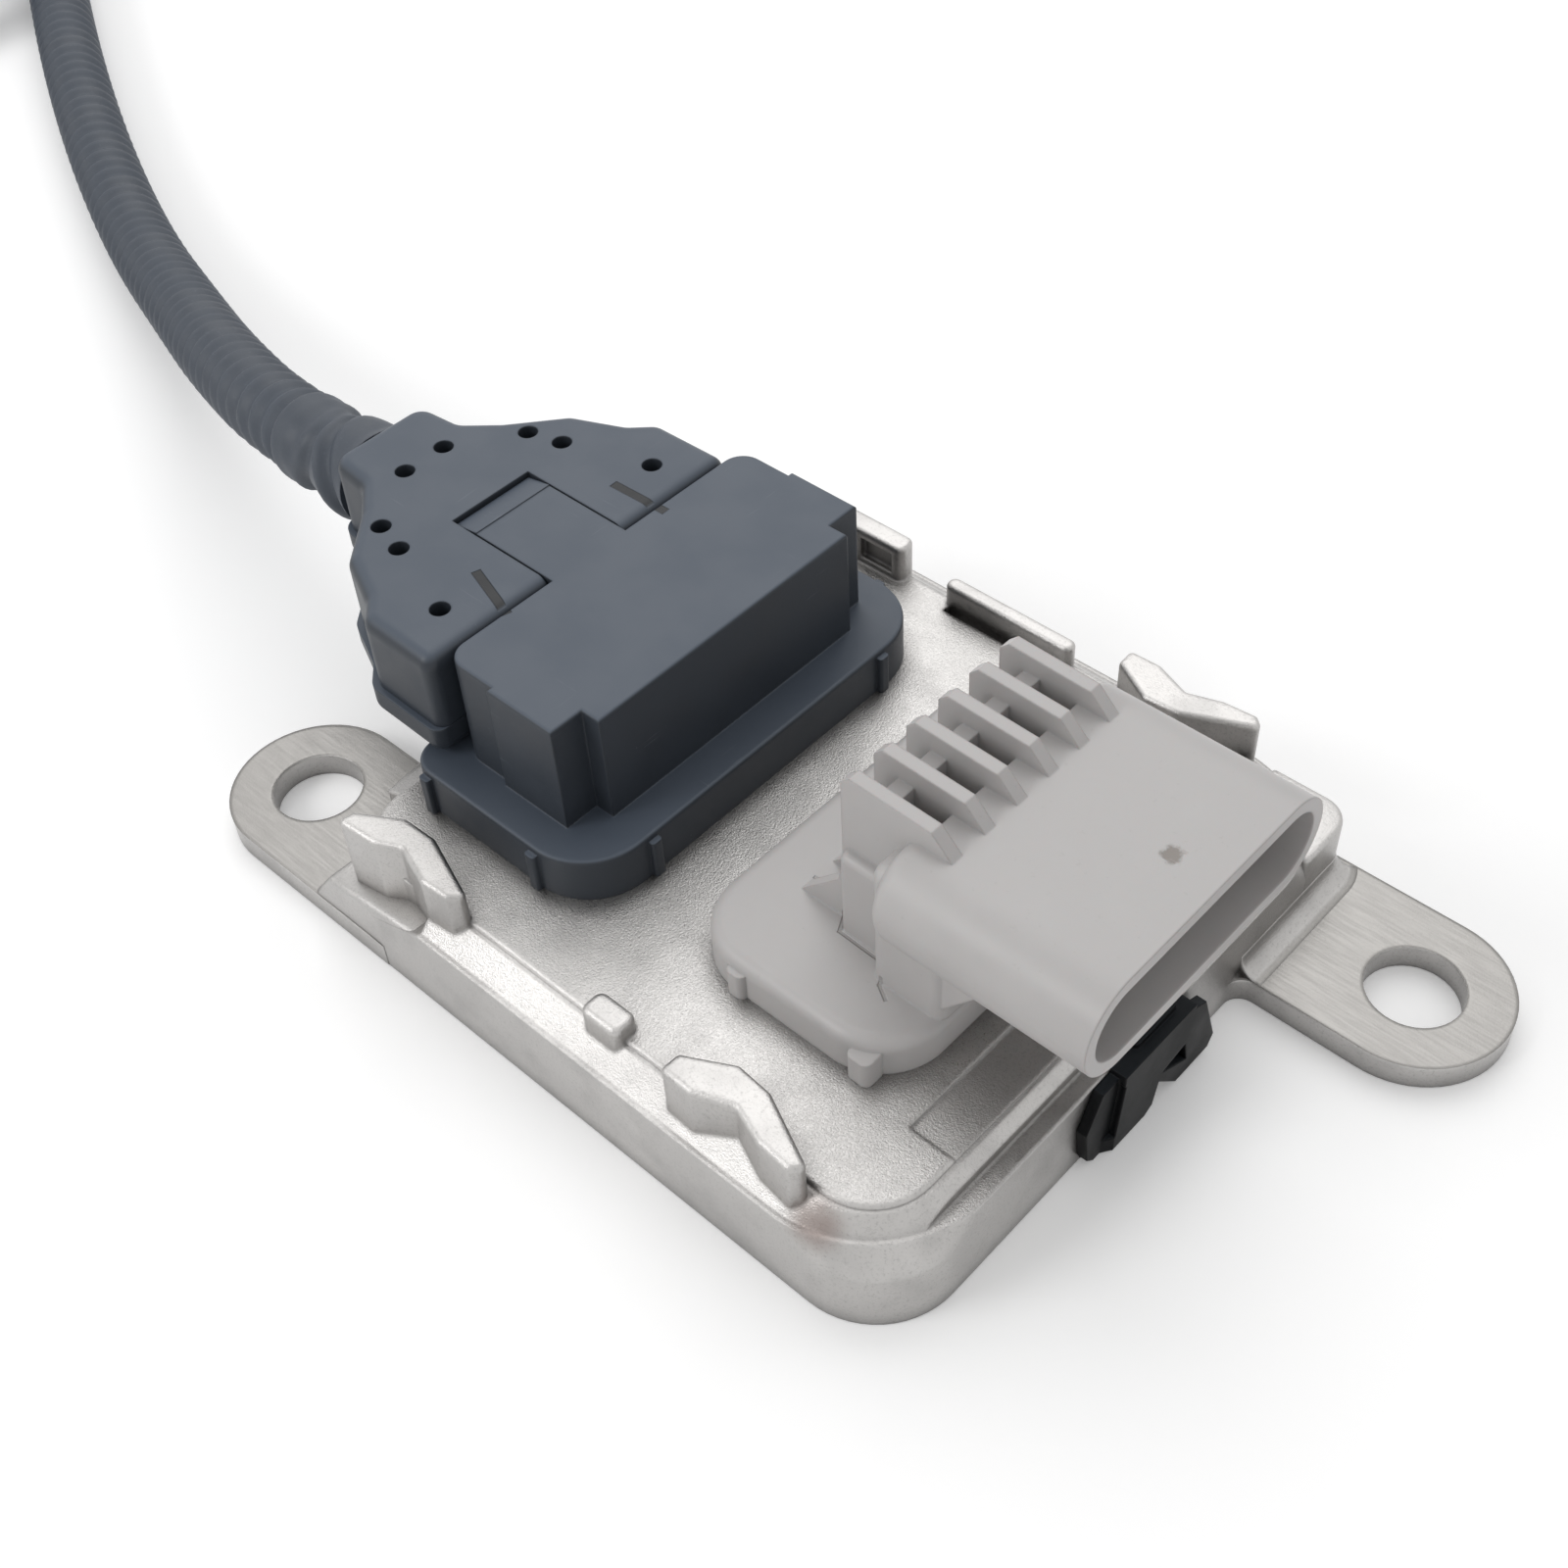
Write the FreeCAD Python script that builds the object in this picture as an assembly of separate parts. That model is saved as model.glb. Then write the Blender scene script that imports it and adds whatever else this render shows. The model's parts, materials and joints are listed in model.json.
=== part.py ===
"""Nitrogen oxide sensor: control unit, ribbed conduit and probe.

Millimetres, +Z up. The origin lies on the underside of the housing, midway between the two bolt holes.
+X points the way a plug is pulled off, and y = 0 is the middle plane of the housing and its two headers.
"""
import FreeCAD
import Part

import math
import os

V = FreeCAD.Vector
UP = V(0, 0, 1)
past = 1.0
sink = 0.1
tiny = 0.01

# Housing: a die-cast plate with a raised deck and two bolt ears
plate_half_x = 34.8
plate_half_y = 33.0
plate_corner = 8.3
rim_z = 9.4
rim_corner = 12.3
scoop_z = 6.6
deck_inset_x = 3.2
deck_half_x = plate_half_x - deck_inset_x
deck_half_y = 29.9
deck_corner = 6.0
deck_z = 12.0
deck_edge = 0.4
bevel_foot_inset = 0.5
bevel_top_drop = 0.5
bevel_top_z = deck_z - bevel_top_drop
bevel_top_proud = 0.35
step_inset = 1.8
step_x = plate_half_x - step_inset
lead_rim_rise = 1.5
lead_rim_z = rim_z + lead_rim_rise
lead_rim_width = 3.6
lead_rim_x = -plate_half_x + lead_rim_width
lead_slope_foot = 0.3
lead_slope_drop = 0.4
lead_slope_reach = 2.0
deck_lead_inset = 2.2
deck_lead_x = -plate_half_x + deck_lead_inset
wall = 2.4
deck_thickness = 2.0
pad_depth = 0.35
pad_length = 4.6
pad_x0 = deck_half_x - pad_length
pad_half_y = 21.0

# Bolt ears
ear_x = 47.4
ear_y = 24.2
ear_radius = 8.85
ear_thickness = 2.7
ear_hole = 9.0
ear_fillet = 1.8
ramp_reach = 2.2
ramp_low_x = -plate_half_x - ramp_reach
ramp_length = 14.8
ramp_high_x = -plate_half_x + ramp_length

# Hooks, block and rails on the long sides of the deck
hook_top_z = 15.8
hook_edge = 0.5
hook_corner = 0.55
hook_depth = 2.0
lead_hook_depth = 0.5
block_x0 = -0.6
block_x1 = 3.9
block_y = -29.55
block_width = 2.7
block_top_z = 13.8
block_corner = 0.9
block_edge = 0.6
rail_x0 = -10.4
rail_x1 = 5.0
rail_y = 29.5
rail_width = 1.7
rail_top_z = 14.7
rail_slot_width = 0.8
rail_slot_depth = 1.4
rail_slot_inset = 0.6
rail_corner = 0.8
rail_edge = 0.45
far_rail_inset = 1.8
far_rail_length = 17.3
far_rail_x0 = -plate_half_x + far_rail_inset
far_rail_x1 = far_rail_x0 + far_rail_length
far_rail_top_z = 16.2
far_rail_width = 2.4
far_rail_corner = 0.9
far_rail_window = 4.2
far_rail_window_depth = 0.8
far_rail_window_margin = 1.2
far_rail_window_sill = 0.6
far_rail_window_head = 1.0

# Underside: closing plate, its gasket and the circuit board
base_thickness = 1.2
base_clearance = 0.15
base_seat = 0.6
base_corner_inset = 1.8
base_panel_inset = 9.0
base_panel_slope = 1.0
base_panel_corner = 5.0
base_panel_depth = 0.5
room_inset = 1.4
room_corner_inset = 4.5
head_corner_inset = 5.5
seal_width = 1.6
seal_height = 0.9
seal_margin = 0.2
seal_outer_inset = 2.0
seal_inner_inset = 3.2
board_z = 5.6
board_thickness = 1.6
board_ledge = 1.6
board_clearance = 0.2
board_half_x = plate_half_x - wall - room_inset - board_clearance
board_half_y = plate_half_y - wall - room_inset - board_clearance
chip_corner = 0.4
chip_top_corner = 0.3
chip_slope = 0.3
chip_lead_height = 0.25
chip_lead_margin = 0.8
chip_x = 2.0
large_chip_half = 5.0
large_chip_height = 1.2
large_chip_lead = 0.8
large_chip_margin = 12.0
small_chip_half = 4.0
small_chip_height = 1.5
small_chip_lead = 0.7
small_chip_margin = 14.0
capacitor_foot = 4.4
capacitor_foot_height = 0.6
capacitor_foot_corner = 0.6
capacitor_diameter = 4.0
capacitor_round = 0.35
capacitor_head_room = 0.8
capacitor_x = -2.5
capacitor_far_inset = 5.0
capacitor_near_inset = 6.0

# Plug header: light grey moulding with ribs and an oval mouth
plug_setback = 10.4
plug_length = 23.7
plug_x1 = plate_half_x - plug_setback
plug_x0 = plug_x1 - plug_length
plug_half_y = 20.1
plug_corner = 6.5
plug_flange_z = 16.1
plug_flange_edge = 1.3
rib_pitch = 4.0
rib_count = 6
rib_thickness = 1.3
rib_front_inset = 1.8
rib_length = 11.4
rib_front_x = plug_x1 - rib_front_inset
rib_rear_x = rib_front_x - rib_length
rib_top_z = 33.6
rib_round = 0.9
rib_nose = 2.2
rib_nose_drop = 0.3
rib_foot_length = 4.9
rib_foot_x = rib_rear_x - rib_foot_length
rib_foot_z = 20.5
rib_foot_bend = 0.6
rib_foot_rise = 3.0
web_setback = 2.5
web_x = rib_rear_x + web_setback
web_thickness = 1.7
web_top_z = 31.6
pillar_setback = 0.4
pillar_x = rib_rear_x + pillar_setback
pillar_half_y = 11.8
pillar_top_z = 25.5
pillar_corner = 0.8
pillar_edge = 0.7
neck_inset = 0.1
neck_x1 = plug_x1 - neck_inset
neck_span = 7.5
neck_x0 = neck_x1 - neck_span
neck_half_y = 13.9
neck_soft = 1.2
neck_drop = 1.6
root_depth = 0.3
bay_floor_z = 20.0
bay_length = 5.5
bay_front_x = web_x + bay_length
shell_setback = 1.2
shell_x0 = neck_x0 + shell_setback
shell_length = 21.1
shell_x1 = shell_x0 + shell_length
shell_half_y = 15.7
shell_z0 = 21.4
shell_z1 = 31.2
shell_corner = 4.88
shell_wall = 1.3
shell_rear_soft = 1.4
shell_overlap = 0.1
mouth_setback = 1.2
mouth_back_x = neck_x1 + mouth_setback
gusset_length = 4.2
gusset_thickness = 1.2
gusset_inset = 1.0
gusset_height = 4.5
gusset_rise = 1.5
gusset_root = 0.5
header_skirt_inset = 3.2
header_skirt_corner = 2.0
header_clearance = 0.25
plug_tabs = [(6.8, 1.0, 0.6), (20.3, 1.2, 0.5)]
tab_corner = 0.7
tab_top_z = 14.9
groove_inset = 1.2
groove_width = 1.6
groove_least_corner = 0.3
seal_clearance = 0.1

# Blades in the plug header, one for each bay between the ribs
blade_width = 1.5
blade_thickness = 0.8
blade_reach = 7.5
blade_tip_x = mouth_back_x + blade_reach
blade_z = 26.3
blade_setback = 1.0
blade_x = bay_front_x + blade_setback
blade_tip_chamfer = 0.25
blade_solder_length = 1.4

# Lead header: dark moulding with a skirt and a tower
lead_length = 23.9
lead_x0 = lead_rim_x
lead_x1 = lead_x0 + lead_length
lead_half_y = 23.0
lead_corner = 6.6
lead_rear_corner = 3.0
lead_skirt_z = 16.9
lead_skirt_edge = 0.35
tower_rear_inset = 3.4
tower_front_inset = 4.1
tower_x0 = lead_x0 + tower_rear_inset
tower_x1 = lead_x1 - tower_front_inset
tower_side_inset = 3.6
tower_half_y = lead_half_y - tower_side_inset
tower_root = 0.5
tower_edge = 0.3
tower_top_z = 28.7
tower_notch_x = 2.1
tower_notch_y = 3.6
tower_side_step = 0.5
tower_step_length = 6.2
tower_step_x = tower_x0 + tower_step_length
tower_rear_corner = 2.3
tower_side_wall = 3.8
tower_front_wall = 6.1
tower_roof = 2.0
socket_half_y = tower_half_y - tower_side_wall
socket_z0 = 18.7
socket_z1 = tower_top_z - tower_roof
socket_floor_x = tower_x1 - tower_front_wall
tongue_length = 13.2
tongue_tip_x = tower_x0 - tongue_length
tongue_root = 1.0
tongue_y0 = -6.0
tongue_y1 = 3.2
tongue_thickness = 1.5
tongue_nose_drop = 0.5
tongue_ramp = 3.0
tongue_rise = 0.1
lead_tab_half = 0.6
lead_tab_corner = 0.3
lead_tab_drop = 0.6
lead_side_tabs = [2.8, 17.0]
lead_front_tabs = [-15.0, 15.5]

# Contacts of the lead header and the wires in the fan-shaped cover
contact_count = 6
contact_pitch = 4.0
contact_size = 0.8
contact_setback = 2.9
contact_length = 8.1
contact_x = socket_floor_x + contact_setback
contact_tip_x = socket_floor_x - contact_length
contact_z = 22.4
wire_diameter = 1.7
wire_gap = 0.4
wire_ring = 2.4
wire_straight = 3.5
wire_turn = 8.4
wire_fit = 0.05

# Fan-shaped cover: two half shells round the wires
cover_y = -1.7
cover_z0 = 17.3
cover_z1 = 28.7
cover_parting_z = 20.5
cover_wall = 1.5
cover_edge = 1.4
cover_soft = 2.0
cover_front_soft = 1.2
cover_lip = 0.6
cover_shoulder = 0.6
cover_end_x = -58.0
cover_gap = 0.2
cover_roof = 1.2
cover_hole = 2.0
cover_hole_floor = 2.0
cover_holes = [(-50.5, 2.45), (-45.8, 9.3), (-42.0, 10.3), (-32.65, 13.35)]
cover_neck_half = 5.8
cover_plan = [(-52.6, 6.3), (-49.3, 9.1), (-44.9, 14.2), (-39.4, 16.6), (-37.1, 18.7)]
cover_front_half = 18.9
nose_setback = 2.5
nose_x1 = socket_floor_x - nose_setback
nose_fit = 0.4
nose_half_y = socket_half_y - nose_fit
nose_root = 2.0
neck_length = 5.5
conduit_fit = 0.05

# Clip on the rim
clip_y0 = -2.0
clip_y1 = 4.0
clip_wall = 1.0
clip_reach = 0.6
clip_proud = 1.7
clip_face_x = plate_half_x + clip_proud
clip_fit = 0.05
clip_tongue_gap = 0.2
clip_tongue_corner = 0.5
clip_bridge_y0 = -4.8
clip_bridge_y1 = 5.2
clip_bridge_z0 = 8.6
clip_bridge_z1 = 9.9
clip_face = [
    (-4.6, 8.9),
    (-1.3, 9.6),
    (3.9, 9.9),
    (6.8, 8.7),
    (9.1, 1.8),
    (8.4, 0.5),
    (3.6, 0.4),
    (0.7, 3.5),
    (0.1, 0.8),
    (-0.9, 0.2),
    (-5.6, 0.2),
]
clip_window = [(1.0, 4.5), (4.3, 5.2), (4.9, 2.4)]
clip_back = [(-8.4, 1.2), (-8.9, 5.4), (-7.0, 9.3), (-4.4, 9.3), (-4.4, 0.4), (-7.4, 0.2)]
clip_foot_y = [-8.0, -6.4, -5.5, -4.3]
clip_foot_z0 = 0.2
clip_foot_z1 = 2.0

# Conduit: free cord from the fan-shaped cover to the probe
conduit_diameter = 9.2
conduit_wrap_diameter = 11.2
conduit_wrap_length = 10.5
conduit_route = [
    V(-53.0, -1.7, 22.4),
    V(-75.2, -1.2, 20.4),
    V(-96.9, 5.0, 15.4),
    V(-115.6, 12.0, 10.2),
    V(-140.5, 20.8, 5.6),
    V(-165.5, 31.2, 4.7),
    V(-190.5, 43.2, 4.7),
    V(-216.0, 56.8, 4.7),
    V(-250.8, 76.6, 4.7),
]
bend_share = 0.45
coil_radius = 50.6
coil_layer = 9.2
coil_bundle = 9.4
coil_soft = 1.6
coil_second_from = 50.0
coil_second_to = 262.0
conduit_end_run = 33.0
conduit_end_bend = 0.55
conduit_end_sway = 0.6
conduit_end_drop = 14.0
conduit_end_level = 15.0

# Probe at the far end of the conduit
hex_flats = 22.0
hex_length = 9.0
collar_diameter = 21.8
collar_length = 2.5
thread_diameter = 20.0
thread_length = 11.0
gasket_thickness = 1.6
shield_diameter = 12.4
shield_length = 17.0
shield_wall = 0.6
shield_end_round = 0.9
inner_tube_diameter = 8.6
sleeve_diameter = 15.2
sleeve_neck_diameter = 12.6
sleeve_length = 36.0
sleeve_neck_length = 13.0
sleeve_wall = 0.6
sleeve_flare = 2.0
crimp_start = 3.5
crimp_slope = 1.0
crimp_length = 2.0
crimp_depth = 0.35
grommet_proud = 5.0
grommet_lip = 3.0
grommet_lip_wall = 0.7
grommet_shoulder = 1.2
grommet_swell = 0.4
cord_fit = 0.02
relief_depth = 1.1
relief_length = 2.2
relief_slope = 0.6
thread_lead = 1.0
shield_seat = 3.0
boss_length = 7.0
boss_clearance = 0.6
bore_depth = 8.0
gasket_inset = 0.6
shield_holes = 6
shield_hole = 2.6
shield_hole_setback = 6.5
shield_tip_hole = 2.4
shield_tip_thickness = 2.0
inner_flange = 0.6
inner_tip_gap = 3.0
inner_wall = 0.5
inner_floor = 3.5
element_width = 4.2
element_thickness = 1.4
element_inside = 14.0
element_tip_gap = 6.0
slot_margin = 1.0
hex_chamfer_share = 0.6


def slab(x0, x1, y0, y1, radius, z0, z1):
    """Upright slab with rounded corners in plan."""
    box = Part.makeBox(x1 - x0, y1 - y0, z1 - z0, V(x0, y0, z0))
    if radius <= 0:
        return box
    corners = [e for e in box.Edges if upright(e)]
    return box.makeFillet(radius, corners)


def two_radius_slab(x0, x1, half_y, rear, front, z0, z1):
    """Upright slab whose corners at x0 and at x1 have different radii."""
    box = Part.makeBox(x1 - x0, 2 * half_y, z1 - z0, V(x0, -half_y, z0))
    at_rear = [e for e in box.Edges if upright(e) and e.BoundBox.XMax < x0 + tiny]
    box = box.makeFillet(rear, at_rear)
    at_front = [e for e in box.Edges if upright(e) and e.BoundBox.XMin > x1 - tiny]
    return box.makeFillet(front, at_front)


def upright(edge):
    """Whether an edge is a straight one along Z."""
    a = edge.Vertexes[0].Point
    b = edge.Vertexes[-1].Point
    return abs(a.x - b.x) < 1e-6 and abs(a.y - b.y) < 1e-6 and abs(a.z - b.z) > 1e-6


def level(edge, z):
    """Whether an edge lies wholly in the plane at height z."""
    box = edge.BoundBox
    return abs(box.ZMin - z) < 1e-5 and abs(box.ZMax - z) < 1e-5


def prism(points, z0, z1):
    """Upright prism over a plan outline."""
    wire = Part.makePolygon([V(x, y, z0) for x, y in points + points[:1]])
    return Part.Face(wire).extrude(V(0, 0, z1 - z0))


def side_prism(points, y0, y1):
    """Prism along Y over an outline of (x, z) points."""
    wire = Part.makePolygon([V(x, y0, z) for x, z in points + points[:1]])
    return Part.Face(wire).extrude(V(0, y1 - y0, 0))


def end_prism(points, x0, x1):
    """Prism along X over an outline of (y, z) points."""
    wire = Part.makePolygon([V(x0, y, z) for y, z in points + points[:1]])
    return Part.Face(wire).extrude(V(x1 - x0, 0, 0))


def frustum(low, high, z0, z1):
    """Loft between two rounded rectangles, each given as x0, x1, y0, y1 and corner radius."""
    return Part.makeLoft([outline(*low, z0), outline(*high, z1)], True, True)


def outline(x0, x1, y0, y1, r, z):
    """Closed wire of a rounded rectangle at height z."""
    k = r * (1 - math.sqrt(0.5))
    lines_and_arcs = [
        Part.LineSegment(V(x0 + r, y0, z), V(x1 - r, y0, z)),
        Part.Arc(V(x1 - r, y0, z), V(x1 - k, y0 + k, z), V(x1, y0 + r, z)),
        Part.LineSegment(V(x1, y0 + r, z), V(x1, y1 - r, z)),
        Part.Arc(V(x1, y1 - r, z), V(x1 - k, y1 - k, z), V(x1 - r, y1, z)),
        Part.LineSegment(V(x1 - r, y1, z), V(x0 + r, y1, z)),
        Part.Arc(V(x0 + r, y1, z), V(x0 + k, y1 - k, z), V(x0, y1 - r, z)),
        Part.LineSegment(V(x0, y1 - r, z), V(x0, y0 + r, z)),
        Part.Arc(V(x0, y0 + r, z), V(x0 + k, y0 + k, z), V(x0 + r, y0, z)),
    ]
    return Part.Wire([c.toShape() for c in lines_and_arcs])


def cylinder(radius, z0, z1, x, y):
    return Part.makeCylinder(radius, z1 - z0, V(x, y, z0), UP)


def mirrored(shape):
    """The shape on the other side of the middle plane."""
    return shape.mirror(V(0, 0, 0), V(0, 1, 0))


def one_solid(shape):
    """The single solid of a boolean result, with its seam faces joined."""
    clean = shape.removeSplitter()
    solids = clean.Solids
    if len(solids) != 1:
        raise ValueError(f"expected one solid, found {[round(s.Volume, 3) for s in solids]}")
    return solids[0]


def rounded_prism(points, z0, z1, corner, edge):
    """Upright prism with rounded corners and a softened top."""
    body = prism(points, z0, z1)
    body = body.makeFillet(corner, [e for e in body.Edges if upright(e)])
    return body.makeFillet(edge, [e for e in body.Edges if level(e, z1)])


# Housing


def ear(side):
    """Ear with its bolt hole, for side +1 at the plug's end or -1 at the lead's end."""
    x = side * ear_x
    y = side * ear_y
    inner = side * (plate_half_x - plate_corner)
    strap = slab(min(x, inner), max(x, inner), y - ear_radius, y + ear_radius, 0, 0, ear_thickness)
    tab = strap.fuse(cylinder(ear_radius, 0, ear_thickness, x, y)).removeSplitter()
    foot_y = y - side * ear_radius
    wall_x = side * plate_half_x
    web = prism(
        [
            (wall_x - side * ear_fillet, foot_y + side * ear_fillet),
            (wall_x + side * ear_fillet, foot_y + side * ear_fillet),
            (wall_x + side * ear_fillet, foot_y),
            (wall_x, foot_y - side * ear_fillet),
            (wall_x - side * ear_fillet, foot_y - side * ear_fillet),
        ],
        0,
        ear_thickness,
    )
    round_cut = cylinder(
        ear_fillet, -past, ear_thickness + past, wall_x + side * ear_fillet, foot_y - side * ear_fillet
    )
    return tab.fuse(web.cut(round_cut))


def hook_outline():
    """Plan of the hook at the plug's end of the near side: a bent bar with its bend towards the deck."""
    return [
        (10.0, -31.7),
        (10.1, -29.6),
        (14.6, -27.2),
        (18.3, -27.5),
        (25.3, -30.8),
        (24.0, -31.9),
        (20.6, -31.6),
        (17.2, -30.4),
        (13.4, -31.8),
    ]


def lead_hook_outline():
    """Plan of the hook at the lead's end of the near side."""
    return [
        (-31.2, -31.6),
        (-30.6, -29.8),
        (-26.4, -27.3),
        (-22.6, -27.2),
        (-15.0, -29.9),
        (-16.6, -31.2),
        (-19.6, -31.4),
        (-24.0, -30.0),
        (-26.4, -31.2),
    ]


def hooks():
    """Hooks on the long sides, standing on the bevel beside the deck."""
    near_z0 = rim_z - hook_depth
    lead_z0 = ear_thickness - lead_hook_depth
    near = rounded_prism(hook_outline(), near_z0, hook_top_z, hook_corner, hook_edge)
    lead = rounded_prism(lead_hook_outline(), lead_z0, hook_top_z, hook_corner, hook_edge)
    return [near, mirrored(near), lead]


def block():
    y0 = block_y - block_width / 2
    body = slab(block_x0, block_x1, y0, y0 + block_width, block_corner, rim_z, block_top_z)
    return body.makeFillet(block_edge, [e for e in body.Edges if level(e, block_top_z)])


def rail():
    y0 = rail_y - rail_width / 2
    body = slab(rail_x0, rail_x1, y0, y0 + rail_width, rail_corner, rim_z, rail_top_z)
    return body.makeFillet(rail_edge, [e for e in body.Edges if level(e, rail_top_z)])


def far_rail():
    """Rail behind the lead header, with a recessed window in its inner face."""
    y0 = rail_y - far_rail_width / 2
    y1 = rail_y + far_rail_width / 2
    body = slab(far_rail_x0, far_rail_x1, y0, y1, far_rail_corner, rim_z, far_rail_top_z)
    body = body.makeFillet(rail_edge, [e for e in body.Edges if level(e, far_rail_top_z)])
    window_x1 = far_rail_x1 - far_rail_window_margin
    window = slab(
        window_x1 - far_rail_window,
        window_x1,
        y0 - past,
        y0 + far_rail_window_depth,
        0,
        deck_z + far_rail_window_sill,
        far_rail_top_z - far_rail_window_head,
    )
    return body.cut(window)


def header_openings():
    """Holes in the deck for the undersides of the two headers."""
    plug = header_skirt(plug_x0, plug_x1, plug_half_y, header_clearance)
    lead = header_skirt(lead_x0, lead_x1, lead_half_y, header_clearance)
    return [plug, lead]


def header_skirt(x0, x1, half_y, grow):
    """The part of a header that goes down through the deck."""
    inset = header_skirt_inset - grow
    return slab(
        x0 + inset,
        x1 - inset,
        -half_y + inset,
        half_y - inset,
        header_skirt_corner,
        deck_z - deck_thickness,
        deck_z,
    )


def lead_rim():
    """Higher rim along the lead's end, with a bevel up to the deck."""
    high = slab(-plate_half_x, plate_half_x, -plate_half_y, plate_half_y, rim_corner, rim_z, lead_rim_z)
    end = Part.makeBox(
        plate_half_x + lead_rim_x, 2 * plate_half_y, deck_z, V(-plate_half_x, -plate_half_y, 0)
    )
    slope = side_prism(
        [
            (-plate_half_x + lead_slope_foot, lead_rim_z),
            (deck_lead_x, deck_z - lead_slope_drop),
            (deck_lead_x + lead_slope_reach, deck_z - lead_slope_drop),
            (deck_lead_x + lead_slope_reach, lead_rim_z),
        ],
        -deck_half_y + deck_corner,
        deck_half_y - deck_corner,
    )
    return high.common(end).fuse(slope)


def make_housing():
    low = (-plate_half_x, plate_half_x, -plate_half_y, plate_half_y, plate_corner)
    rim = (-plate_half_x, plate_half_x, -plate_half_y, plate_half_y, rim_corner)
    body = slab(*low, 0, scoop_z).fuse(frustum(low, rim, scoop_z, rim_z))
    foot_x = plate_half_x - bevel_foot_inset
    foot_y = plate_half_y - bevel_foot_inset
    top_x = deck_half_x + bevel_top_proud
    top_y = deck_half_y + bevel_top_proud
    bevel = frustum(
        (-foot_x, foot_x, -foot_y, foot_y, rim_corner - bevel_foot_inset),
        (-top_x, top_x, -top_y, top_y, deck_corner + bevel_top_proud),
        rim_z,
        bevel_top_z,
    )
    beyond = slab(step_x, plate_half_x + past, -plate_half_y, plate_half_y, 0, rim_z, deck_z)
    body = body.fuse(bevel.cut(beyond)).fuse(lead_rim())
    body = body.fuse(ear(1)).fuse(ear(-1)).removeSplitter()

    ramp = side_prism(
        [
            (ramp_low_x - 2 * past, ear_thickness),
            (ramp_low_x, ear_thickness),
            (ramp_high_x, rim_z),
            (ramp_high_x, deck_z),
            (ramp_low_x - 2 * past, deck_z),
        ],
        -plate_half_y - past,
        -deck_half_y + deck_corner,
    )
    keep = slab(
        deck_lead_x - deck_edge,
        deck_half_x,
        -deck_half_y - deck_edge,
        deck_half_y,
        deck_corner + deck_edge,
        0,
        deck_z,
    )
    body = body.cut(ramp.cut(keep))

    deck = slab(deck_lead_x, deck_half_x, -deck_half_y, deck_half_y, deck_corner, rim_z, deck_z)
    deck = deck.makeFillet(deck_edge, [e for e in deck.Edges if level(e, deck_z)])
    body = body.fuse(deck).removeSplitter()
    for piece in hooks() + [block(), rail(), far_rail()]:
        body = body.fuse(piece)

    slot = slab(
        rail_x0 + rail_slot_inset,
        rail_x1 - rail_slot_inset,
        rail_y - rail_width / 2 - rail_slot_width,
        rail_y - rail_width / 2,
        0,
        deck_z - rail_slot_depth,
        deck_z + sink,
    )
    pad = slab(
        pad_x0, deck_half_x + sink, -pad_half_y, pad_half_y, 0, deck_z - pad_depth, deck_z + sink
    )
    body = body.cut(slot).cut(pad)
    for opening in header_openings():
        body = body.cut(opening)
    for side in (1, -1):
        body = body.cut(cylinder(ear_hole / 2, -past, ear_thickness + past, side * ear_x, side * ear_y))
    return one_solid(cut_cavity(body))


def cut_cavity(body):
    """Hollow underside: seat for the closing plate, room for the board, and room above the board."""
    seat_x = plate_half_x - wall + base_seat
    seat_y = plate_half_y - wall + base_seat
    room_x = board_half_x + board_clearance
    room_y = board_half_y + board_clearance
    top_x = room_x - board_ledge
    top_y = room_y - board_ledge
    seat = slab(-seat_x, seat_x, -seat_y, seat_y, plate_corner - base_corner_inset, -past, base_thickness)
    board_room = slab(-room_x, room_x, -room_y, room_y, plate_corner - room_corner_inset, 0, board_z)
    above = slab(-top_x, top_x, -top_y, top_y, plate_corner - head_corner_inset, 0, deck_z - deck_thickness)
    return body.cut(seat).cut(board_room).cut(above).cut(seal_groove(0))


def seal_groove(clear):
    """Ring round the underside that holds the gasket, narrower by clear on each side."""
    seat_x = plate_half_x - wall + base_seat - seal_margin
    seat_y = plate_half_y - wall + base_seat - seal_margin
    outer = slab(
        -seat_x + clear,
        seat_x - clear,
        -seat_y + clear,
        seat_y - clear,
        plate_corner - seal_outer_inset - clear,
        base_thickness,
        base_thickness + seal_height - clear,
    )
    inner_x = seat_x - seal_width + clear
    inner_y = seat_y - seal_width + clear
    inner = slab(
        -inner_x,
        inner_x,
        -inner_y,
        inner_y,
        plate_corner - seal_inner_inset,
        base_thickness - past,
        base_thickness + seal_height + past,
    )
    return outer.cut(inner)


def make_base_plate():
    half_x = plate_half_x - wall + base_seat - base_clearance
    half_y = plate_half_y - wall + base_seat - base_clearance
    corner = plate_corner - base_corner_inset - base_clearance
    plate = slab(-half_x, half_x, -half_y, half_y, corner, 0, base_thickness)
    low_x = half_x - base_panel_inset
    low_y = half_y - base_panel_inset
    top_x = low_x - base_panel_slope
    top_y = low_y - base_panel_slope
    panel = frustum(
        (-low_x, low_x, -low_y, low_y, base_panel_corner),
        (-top_x, top_x, -top_y, top_y, base_panel_corner - base_panel_slope),
        -sink,
        base_panel_depth,
    )
    return one_solid(plate.cut(panel))


def make_circuit_board():
    corner = plate_corner - room_corner_inset - board_clearance
    z0 = board_z - board_thickness
    board = slab(-board_half_x, board_half_x, -board_half_y, board_half_y, corner, z0, board_z)
    for y in blade_positions():
        board = board.cut(blade_hole(blade_x, y, blade_thickness, blade_width))
    for y in contact_positions():
        board = board.cut(blade_hole(contact_x, y, contact_size, contact_size))
    return one_solid(board)


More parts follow.
